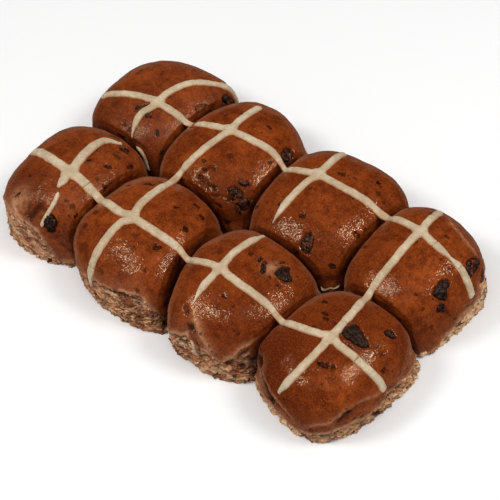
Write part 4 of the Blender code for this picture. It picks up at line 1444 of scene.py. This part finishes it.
# Display colours, from 0 to 255.
TINTS = {
    "light glaze": (152, 70, 24),
    "dark glaze": (96, 36, 11),
    "browned glaze": (88, 32, 9),
    "torn lip and sheen": (158, 100, 66),
    "stretched dough and ridge highlight": (194, 140, 102),
    "dark freckle": (70, 26, 9),
    "light freckle": (190, 102, 44),
    "speck": (52, 22, 12),
    "melted chocolate": (30, 14, 9),
    "furrow_shade": (50, 20, 10),
    "seam shade": (130, 104, 92),
    "baked base": (120, 72, 46),
    "grazing sheen": (176, 120, 90),
    "light crumb": (228, 158, 106),
    "dark crumb": (162, 88, 48),
    "pale crumb and crest highlight": (248, 204, 154),
    "pale layer": (236, 196, 154),
    "dark layer": (98, 48, 27),
    "crumb shade and browning": (64, 28, 15),
    "cocoa bit": (80, 44, 30),
    "browned flake": (74, 34, 17),
    "light paste": (206, 188, 158),
    "dark paste": (174, 149, 116),
    "paste speck": (196, 140, 84),
    "thin paste": (176, 118, 72),
    "dark chocolate": (22, 11, 9),
    "light chocolate": (64, 36, 28),
    "clinging crust": (124, 58, 27),
    "shaded floor": (246, 246, 246),
    "lit floor": (250, 250, 250),
}
MIX_SOCKETS = {"RGBA": (6, 7, 2), "FLOAT": (2, 3, 0)}  # a Mix node's A, B and Result
# Specks of two sizes: the length of the cells they are strewn in, and the widest speck's share.
SPECK_CELLS = ((9.0, 0.26), (4.0, 0.24))
SPECK_RARITY = 2.5
SPECK_RAGGED = 0.5
SPECK_LEVEL = 0.25
SPECK_EDGE = 0.05
LAYER_SQUASH = 0.12  # how much X and Y count against Level in the crumb's layers, which makes them flat
LAYER_BUMP = 5.0
PLACE_INPUT = ("Place", "NodeSocketVector", None)


def tint(name):
    """A named display colour as the linear colour that a socket takes."""
    shares = np.array(TINTS[name]) / 255.0
    linear = np.where(shares <= 0.04045, shares / 12.92, ((shares + 0.055) / 1.055) ** 2.4)
    return (*linear.tolist(), 1.0)


class Wires:
    """Adds and joins nodes in one material or group, with few words."""

    def __init__(self, tree):
        self.tree = tree

    def add(self, kind, **settings):
        """A new node with these settings."""
        node = self.tree.nodes.new(kind)
        for key, value in settings.items():
            setattr(node, key, value)
        return node

    def put(self, value, socket):
        """Links an output, or sets a constant, on an input socket."""
        if isinstance(value, bpy.types.NodeSocket):
            self.tree.links.new(value, socket)
        else:
            socket.default_value = value

    def math(self, operation, a, b=0.0):
        """The result of a Math node on a and b."""
        node = self.add("ShaderNodeMath", operation=operation)
        self.put(a, node.inputs[0])
        self.put(b, node.inputs[1])
        return node.outputs[0]

    def times(self, a, b):
        """a times b."""
        return self.math("MULTIPLY", a, b)

    def weighted(self, *parts):
        """The sum of parts, each a value and its weight."""
        total, *others = [self.times(value, weight) for value, weight in parts]
        for other in others:
            total = self.math("ADD", total, other)
        return total

    def ramp(self, value, low, high, start=0.0, end=1.0):
        """Maps low..high smoothly to start..end."""
        node = self.add("ShaderNodeMapRange", interpolation_type="SMOOTHSTEP")
        self.put(value, node.inputs["Value"])
        for key, number in (("From Min", low), ("From Max", high), ("To Min", start), ("To Max", end)):
            node.inputs[key].default_value = number
        return node.outputs["Result"]

    def mix(self, share, a, b, blend="MIX", kind="RGBA"):
        """The colour a, turned into b by share."""
        node = self.add("ShaderNodeMix", data_type=kind, blend_type=blend)
        first, second, result = MIX_SOCKETS[kind]
        self.put(share, node.inputs["Factor"])
        self.put(a, node.inputs[first])
        self.put(b, node.inputs[second])
        return node.outputs[result]

    def blend(self, share, a, b):
        """The number a, turned into b by share."""
        return self.mix(share, a, b, kind="FLOAT")

    def noise(self, place, length_mm, detail=3.0, roughness=0.55, distortion=0.0):
        """Noise whose features are about length_mm across."""
        node = self.add("ShaderNodeTexNoise")
        self.put(place, node.inputs["Vector"])
        node.inputs["Scale"].default_value = 1.0 / (length_mm * MM)
        node.inputs["Detail"].default_value = detail
        node.inputs["Roughness"].default_value = roughness
        node.inputs["Distortion"].default_value = distortion
        return node.outputs["Fac"]

    def mask(self, name):
        """One of the masks that make_piece leaves on the points."""
        return self.add("ShaderNodeAttribute", attribute_name=name).outputs["Fac"]

    def place(self):
        """Each point's own place on the slab."""
        return self.add("ShaderNodeTexCoord").outputs["Object"]


def new_group(name, inputs, outputs):
    """A node group with named sockets. Gives its tree's wires, its inputs and its output node."""
    tree = bpy.data.node_groups.new(name, "ShaderNodeTree")
    for socket, kind, value in inputs:
        made = tree.interface.new_socket(name=socket, in_out="INPUT", socket_type=kind)
        if value is not None:
            made.default_value = value
    for socket, kind in outputs:
        tree.interface.new_socket(name=socket, in_out="OUTPUT", socket_type=kind)
    wires = Wires(tree)
    return wires, wires.add("NodeGroupInput").outputs, wires.add("NodeGroupOutput").inputs


def use_group(wires, tree, **values):
    """The outputs of a node group, given values for its inputs."""
    node = wires.add("ShaderNodeGroup", node_tree=tree)
    for key, value in values.items():
        wires.put(value, node.inputs[key])
    return node.outputs


def mottle_group():
    """Baked colour that drifts between two tones: slow patches broken up by fine mottling."""
    wires, inputs, outputs = new_group(
        "baked_mottle",
        (
            PLACE_INPUT,
            ("Light", "NodeSocketColor", None),
            ("Dark", "NodeSocketColor", None),
            ("Strength", "NodeSocketFloat", 1.0),
        ),
        (("Color", "NodeSocketColor"), ("Tone", "NodeSocketFloat")),
    )
    slow = wires.noise(inputs["Place"], 16.0, detail=3.0, roughness=0.5)
    middle = wires.noise(inputs["Place"], 4.5, detail=4.0, roughness=0.6)
    fine = wires.noise(inputs["Place"], 1.1, detail=4.0, roughness=0.7)
    tone = wires.ramp(wires.weighted((slow, 0.35), (middle, 0.4), (fine, 0.25)), 0.36, 0.62)
    share = wires.times(tone, inputs["Strength"])
    wires.put(wires.mix(share, inputs["Light"], inputs["Dark"]), outputs["Color"])
    wires.put(tone, outputs["Tone"])
    return wires.tree


def grain_group():
    """Fine surface grain: a height made of pimples of one length and finer roughness on them."""
    wires, inputs, outputs = new_group(
        "fine_grain",
        (PLACE_INPUT, ("Coarse", "NodeSocketFloat", 0.5), ("Fine", "NodeSocketFloat", 0.5)),
        (("Height", "NodeSocketFloat"),),
    )
    coarse = wires.noise(inputs["Place"], 1.8, detail=0.0, roughness=0.4)
    fine = wires.noise(inputs["Place"], 0.9, detail=1.0, roughness=0.5)
    height = wires.weighted((coarse, inputs["Coarse"]), (fine, inputs["Fine"]))
    wires.put(height, outputs["Height"])
    return wires.tree


def speck_group():
    """Shares of small dark specks: irregular dots of two sizes strewn at random."""
    wires, inputs, outputs = new_group(
        "fine_specks",
        (PLACE_INPUT, ("Strength", "NodeSocketFloat", 1.0)),
        (("Share", "NodeSocketFloat"),),
    )
    ragged = wires.noise(inputs["Place"], 2.2, detail=3.0, roughness=0.7)
    dots = 0.0
    for length, widest in SPECK_CELLS:
        cells = wires.add("ShaderNodeTexVoronoi")
        wires.put(inputs["Place"], cells.inputs["Vector"])
        cells.inputs["Scale"].default_value = 1.0 / (length * MM)
        chance = wires.add("ShaderNodeSeparateColor")
        wires.put(cells.outputs["Color"], chance.inputs["Color"])
        size = wires.times(wires.math("POWER", chance.outputs["Red"], SPECK_RARITY), widest)
        away = wires.math("ADD", cells.outputs["Distance"], wires.times(ragged, SPECK_RAGGED))
        inside = wires.math("SUBTRACT", wires.math("ADD", size, SPECK_LEVEL), away)
        dots = wires.math("MAXIMUM", wires.ramp(inside, 0.0, SPECK_EDGE), dots)
    wires.put(wires.times(dots, inputs["Strength"]), outputs["Share"])
    return wires.tree


def strata_group():
    """Height of the thin layers that torn crumb splits into, along lines of equal Level."""
    wires, inputs, outputs = new_group(
        "crumb_layers",
        (PLACE_INPUT, ("Level", "NodeSocketFloat", 0.0)),
        (("Height", "NodeSocketFloat"),),
    )
    parts = wires.add("ShaderNodeSeparateXYZ")
    wires.put(inputs["Place"], parts.inputs["Vector"])
    squashed = wires.add("ShaderNodeCombineXYZ")
    for axis in "XY":
        wires.put(wires.times(parts.outputs[axis], LAYER_SQUASH), squashed.inputs[axis])
    wires.put(wires.times(inputs["Level"], MM), squashed.inputs["Z"])
    layers = wires.noise(squashed.outputs["Vector"], 1.3, detail=4.0, roughness=0.62, distortion=0.4)
    wires.put(layers, outputs["Height"])
    return wires.tree


def new_material(name):
    """A material with only its Principled shader and output, and the wires to build it with."""
    material = bpy.data.materials.new(name)
    material.use_nodes = True
    wires = Wires(material.node_tree)
    return material, wires, material.node_tree.nodes["Principled BSDF"].inputs


def bump(wires, height, distance_mm, shader):
    """Bumps the shader's normal by a height, whose full range stands distance_mm tall."""
    node = wires.add("ShaderNodeBump")
    node.inputs["Strength"].default_value = 1.0
    node.inputs["Distance"].default_value = distance_mm * MM
    wires.put(height, node.inputs["Height"])
    wires.put(node.outputs["Normal"], shader["Normal"])


def mottled(wires, mottle, place, light, dark, strength=1.0):
    """A baked colour between two tints."""
    tones = {"Light": tint(light), "Dark": tint(dark)}
    return use_group(wires, mottle, Place=place, Strength=strength, **tones)["Color"]


def grain_height(wires, grain, place, coarse, fine):
    """Height of the surface grain, with coarse and fine parts of these strengths."""
    return use_group(wires, grain, Place=place, Coarse=coarse, Fine=fine)["Height"]


def crumb_tone(wires, mottle, place, pale, hollow, layers):
    """Colour of torn crumb: mottled tan in thin streaks, paler where pale says and darker where
    hollow says. On the crust's crumb they are paler crumb with a painted highlight on its crests,
    and painted shade in its hollows; on flakes they follow how baked each flake is.
    """
    colour = mottled(wires, mottle, place, "light crumb", "dark crumb")
    # Paler where pale says: painted highlight on raised crumb, and unbaked flakes.
    colour = wires.mix(wires.times(pale, 0.8), colour, tint("pale crumb and crest highlight"))
    colour = wires.mix(wires.ramp(layers, 0.52, 0.62, 0.0, 0.6), colour, tint("pale layer"))
    colour = wires.mix(wires.ramp(layers, 0.5, 0.4, 0.0, 0.8), colour, tint("dark layer"))
    # Darker where hollow says: painted shade in the crumb's hollows, and browned flakes.
    colour = wires.mix(wires.times(hollow, 0.9), colour, tint("crumb shade and browning"))
    bits = wires.noise(place, 1.8, detail=2.0, roughness=0.5)
    return wires.mix(wires.ramp(bits, 0.66, 0.74, 0.0, 0.8), colour, tint("cocoa bit"))


def flake_material(mottle, grain, strata):
    """Loose flakes of torn crumb, some of them browned like the crust."""
    material, wires, shader = new_material("flakes")
    place = wires.place()
    baked = wires.mask("baked")
    layers = use_group(wires, strata, Place=place, Level=wires.mask("level"))["Height"]
    pale, hollow = wires.ramp(baked, 0.5, 0.1), wires.ramp(baked, 0.6, 0.9)
    colour = crumb_tone(wires, mottle, place, pale, hollow, layers)
    colour = wires.mix(wires.ramp(baked, 0.88, 0.95), colour, tint("browned flake"))
    wires.put(colour, shader["Base Color"])
    shader["Roughness"].default_value = 0.7
    bump(wires, grain_height(wires, grain, place, 1.5, 1.5), 0.3, shader)
    return material


def glaze_tone(wires, mottle, specks, place, lip, pale, hollow):
    """Colour of the crust: mottled and browned glaze, dull skin above the torn edge with a painted
    sheen, paler, stretched dough with a painted highlight along ridges, freckles, specks, stains
    of melted chocolate, and painted shade in furrows."""
    colour = mottled(wires, mottle, place, "light glaze", "dark glaze")
    colour = wires.mix(wires.mask("browned"), colour, tint("browned glaze"))
    # Dull skin above the torn edge, paler with a painted sheen.
    rubbed = wires.noise(place, 3.0, detail=4.0, roughness=0.65)
    lip_share = wires.times(lip, wires.ramp(rubbed, 0.3, 0.7, 0.3, 0.9))
    colour = wires.mix(lip_share, colour, tint("torn lip and sheen"))
    # Paler stretched dough on bulges and the lip, with a painted highlight along ridges.
    pale_share = wires.times(pale, wires.ramp(rubbed, 0.3, 0.6, 0.3, 0.8))
    colour = wires.mix(pale_share, colour, tint("stretched dough and ridge highlight"))
    freckle = wires.noise(place, 0.9, detail=2.0, roughness=0.7)
    colour = wires.mix(wires.ramp(freckle, 0.5, 0.68, 0.0, 0.3), colour, tint("dark freckle"))
    colour = wires.mix(wires.ramp(freckle, 0.5, 0.34, 0.0, 0.2), colour, tint("light freckle"))
    speck_share = use_group(wires, specks, Place=place, Strength=0.7)["Share"]
    colour = wires.mix(speck_share, colour, tint("speck"))
    smeared = wires.ramp(wires.noise(place, 1.3, detail=3.0, roughness=0.65), 0.4, 0.62, 1.0, 0.6)
    stain_share = wires.times(wires.ramp(wires.mask("stain"), 0.1, 0.8), smeared)
    colour = wires.mix(stain_share, colour, tint("melted chocolate"))
    # Painted shade in furrows and the other hollows.
    return wires.mix(wires.times(hollow, 0.85), colour, tint("furrow_shade"))


def crust_material(mottle, grain, specks, strata):
    """Glazed dark crust, torn crumb under it, chocolate stains, and a dull baked base."""
    material, wires, shader = new_material("crust")
    place = wires.place()
    torn, seam, base = wires.mask("torn"), wires.mask("seam"), wires.mask("base")
    lip, hollow, pale = wires.mask("lip"), wires.mask("hollow"), wires.mask("pale")
    layers = use_group(wires, strata, Place=place, Level=wires.mask("level"))["Height"]
    colour = glaze_tone(wires, mottle, specks, place, lip, pale, hollow)
    colour = wires.mix(torn, colour, crumb_tone(wires, mottle, place, pale, hollow, layers))
    # Painted shade in the creases where buns meet, with the crust a little darker there.
    colour = wires.mix(wires.times(seam, 0.9), colour, tint("seam shade"), "MULTIPLY")
    colour = wires.mix(base, colour, tint("baked base"))
    edge_on = wires.add("ShaderNodeLayerWeight").outputs["Facing"]
    colour = wires.mix(wires.ramp(edge_on, 0.5, 0.92, 0.0, 0.55), colour, tint("grazing sheen"))
    wires.put(colour, shader["Base Color"])

    gloss = wires.ramp(wires.noise(place, 1.3, detail=2.0, roughness=0.6), 0.35, 0.65, 0.08, 0.22)
    dull = wires.math("MAXIMUM", wires.times(lip, 0.8), wires.math("MAXIMUM", torn, base))
    dull = wires.math("MAXIMUM", wires.math("MAXIMUM", dull, seam), wires.mask("dull"))
    wires.put(wires.blend(dull, gloss, 0.55), shader["Roughness"])

    skin_grain = grain_height(wires, grain, place, 0.4, 0.6)
    crumb_grain = grain_height(wires, grain, place, 1.2, 1.6)
    crumb_height = wires.math("ADD", crumb_grain, wires.times(layers, LAYER_BUMP))
    bump(wires, wires.blend(torn, skin_grain, crumb_height), 0.35, shader)
    return material


def paste_material(mottle, grain):
    """Matt cream flour paste, a little browned at its thin edges."""
    material, wires, shader = new_material("cross_paste")
    place = wires.place()
    colour = mottled(wires, mottle, place, "light paste", "dark paste", 0.9)
    specks = wires.noise(place, 1.4, detail=2.0, roughness=0.5)
    colour = wires.mix(wires.ramp(specks, 0.7, 0.78, 0.0, 0.6), colour, tint("paste speck"))
    colour = wires.mix(wires.times(wires.mask("thin"), 0.7), colour, tint("thin paste"))
    wires.put(colour, shader["Base Color"])
    shader["Roughness"].default_value = 0.6
    bump(wires, grain_height(wires, grain, place, 0.8, 0.6), 0.3, shader)
    return material


def chocolate_material(grain):
    """Dark baked chocolate, dull with a few glints."""
    material, wires, shader = new_material("chocolate")
    place = wires.place()
    tone = wires.noise(place, 1.2, detail=4.0, roughness=0.7)
    colour = wires.mix(wires.ramp(tone, 0.42, 0.7), tint("dark chocolate"), tint("light chocolate"))
    streak = wires.noise(place, 2.4, detail=3.0, roughness=0.65, distortion=0.6)
    streak_share = wires.times(wires.ramp(streak, 0.5, 0.6), wires.mask("crusted"))
    wires.put(wires.mix(streak_share, colour, tint("clinging crust")), shader["Base Color"])
    glint = wires.noise(place, 1.2, detail=2.0, roughness=0.6)
    wires.put(wires.ramp(glint, 0.42, 0.6, 0.32, 0.6), shader["Roughness"])
    bump(wires, grain_height(wires, grain, place, 1.2, 0.9), 0.45, shader)
    return material


def floor_material():
    """A plain pale ground."""
    material, wires, shader = new_material("pale_floor")
    drift = wires.noise(wires.place(), 400.0, detail=2.0)
    wires.put(wires.mix(drift, tint("shaded floor"), tint("lit floor")), shader["Base Color"])
    shader["Roughness"].default_value = 0.8
    return material


# ---- floor, light and camera -----------------------------------------------------------------

FLOOR_HALF = 3.0
WHITE = (1.0, 1.0, 1.0)
WARM = (1.0, 0.8, 0.52)
SKY_STRENGTH = 0.3
# Square lamps: azimuth, elevation, distance, side, power, colour, and whether only shine shows them.
SOFTBOXES = {
    "softbox_left": (-38.0, 56.0, 1.3, 0.4, 6.2, WHITE, False),
    "softbox_right": (116.0, 52.0, 1.3, 0.4, 6.2, WHITE, False),
    "glint_left": (-38.0, 56.0, 1.25, 0.14, 3.6, WARM, True),
    "glint_right": (116.0, 52.0, 1.25, 0.14, 3.6, WARM, True),
    "overhead_fill": (49.0, 70.0, 1.5, 1.2, 7.0, WHITE, False),
}
CAMERA_AZIMUTH = 49.31
CAMERA_ELEVATION = 49.04
CAMERA_ROLL = -10.0
CAMERA_DISTANCE = 1.1623
CAMERA_LENS = 137.6
CAMERA_TARGET = (0.0025, 0.0029, 0.0)


def direction(azimuth, elevation):
    """Unit vector towards an azimuth (0 is -Y, 90 is +X) and elevation, in degrees."""
    a, e = math.radians(azimuth), math.radians(elevation)
    return Vector((math.sin(a) * math.cos(e), -math.cos(a) * math.cos(e), math.sin(e)))


def make_floor(material):
    """A wide plain square under the slab."""
    half = FLOOR_HALF
    corners = [(-half, -half, 0), (half, -half, 0), (half, half, 0), (-half, half, 0)]
    mesh = bpy.data.meshes.new("floor")
    mesh.from_pydata(corners, [], [(0, 1, 2, 3)])
    mesh.materials.append(material)
    floor = bpy.data.objects.new("floor", mesh)
    bpy.context.scene.collection.objects.link(floor)
    floor.visible_glossy = False


def make_softbox(name, azimuth, elevation, distance, side, power, colour, glint):
    """A square lamp that faces the slab's middle, and lights either its shine or its colours."""
    light = bpy.data.lights.new(name, "AREA")
    light.shape = "RECTANGLE"
    light.size = light.size_y = side
    light.energy = power
    light.color = colour
    lamp = bpy.data.objects.new(name, light)
    back = direction(azimuth, elevation)
    lamp.location = back * distance
    lamp.rotation_euler = back.to_track_quat("Z", "Y").to_euler()
    lamp.visible_glossy = glint
    lamp.visible_diffuse = not glint
    bpy.context.scene.collection.objects.link(lamp)


def light_scene():
    """A dim even white all round, and the lamps."""
    world = bpy.data.worlds.new("studio")
    bpy.context.scene.world = world
    world.use_nodes = True
    background = world.node_tree.nodes["Background"]
    background.inputs["Color"].default_value = (*WHITE, 1.0)
    background.inputs["Strength"].default_value = SKY_STRENGTH
    world.cycles_visibility.glossy = False
    for name, lamp in SOFTBOXES.items():
        make_softbox(name, *lamp)
    bpy.context.scene.view_settings.view_transform = "Standard"


def make_camera():
    """Looks down on the slab from its front right corner, turned a little about its own axis."""
    back = direction(CAMERA_AZIMUTH, CAMERA_ELEVATION)
    azimuth, roll = math.radians(CAMERA_AZIMUTH), math.radians(CAMERA_ROLL)
    right = Vector((math.cos(azimuth), math.sin(azimuth), 0.0))
    up = back.cross(right)
    turned_right = right * math.cos(roll) + up * math.sin(roll)
    turned_up = up * math.cos(roll) - right * math.sin(roll)
    data = bpy.data.cameras.new("camera")
    data.lens = CAMERA_LENS
    camera = bpy.data.objects.new("camera", data)
    place = Matrix((turned_right, turned_up, back)).transposed().to_4x4()
    place.translation = Vector(CAMERA_TARGET) + back * CAMERA_DISTANCE
    camera.matrix_world = place
    bpy.context.scene.collection.objects.link(camera)
    bpy.context.scene.camera = camera


def build():
    """Makes the slab piece by piece, then what it stands on, its light and its camera."""
    mottle, grain, strata = mottle_group(), grain_group(), strata_group()
    crust = crust_material(mottle, grain, speck_group(), strata)
    paste = paste_material(mottle, grain)
    chocolate = chocolate_material(grain)
    flakes = flake_material(mottle, grain, strata)
    plans = read_plans()
    for name, plan in plans.items():
        make_flakes(name, plan, *make_bun(name, plan, crust), flakes)
    bridges = bridges_of(plans)
    for name, plan in plans.items():
        make_cross(name, plan, CROSSES[name], bridges, paste)
    for number, (name, route, width) in enumerate(SCRAPS):
        make_scrap(number, name, plans[name], route, width, paste)
    make_lumps(plans, chocolate)
    make_small_chips(plans, chocolate)
    make_floor(floor_material())
    light_scene()
    make_camera()


build()
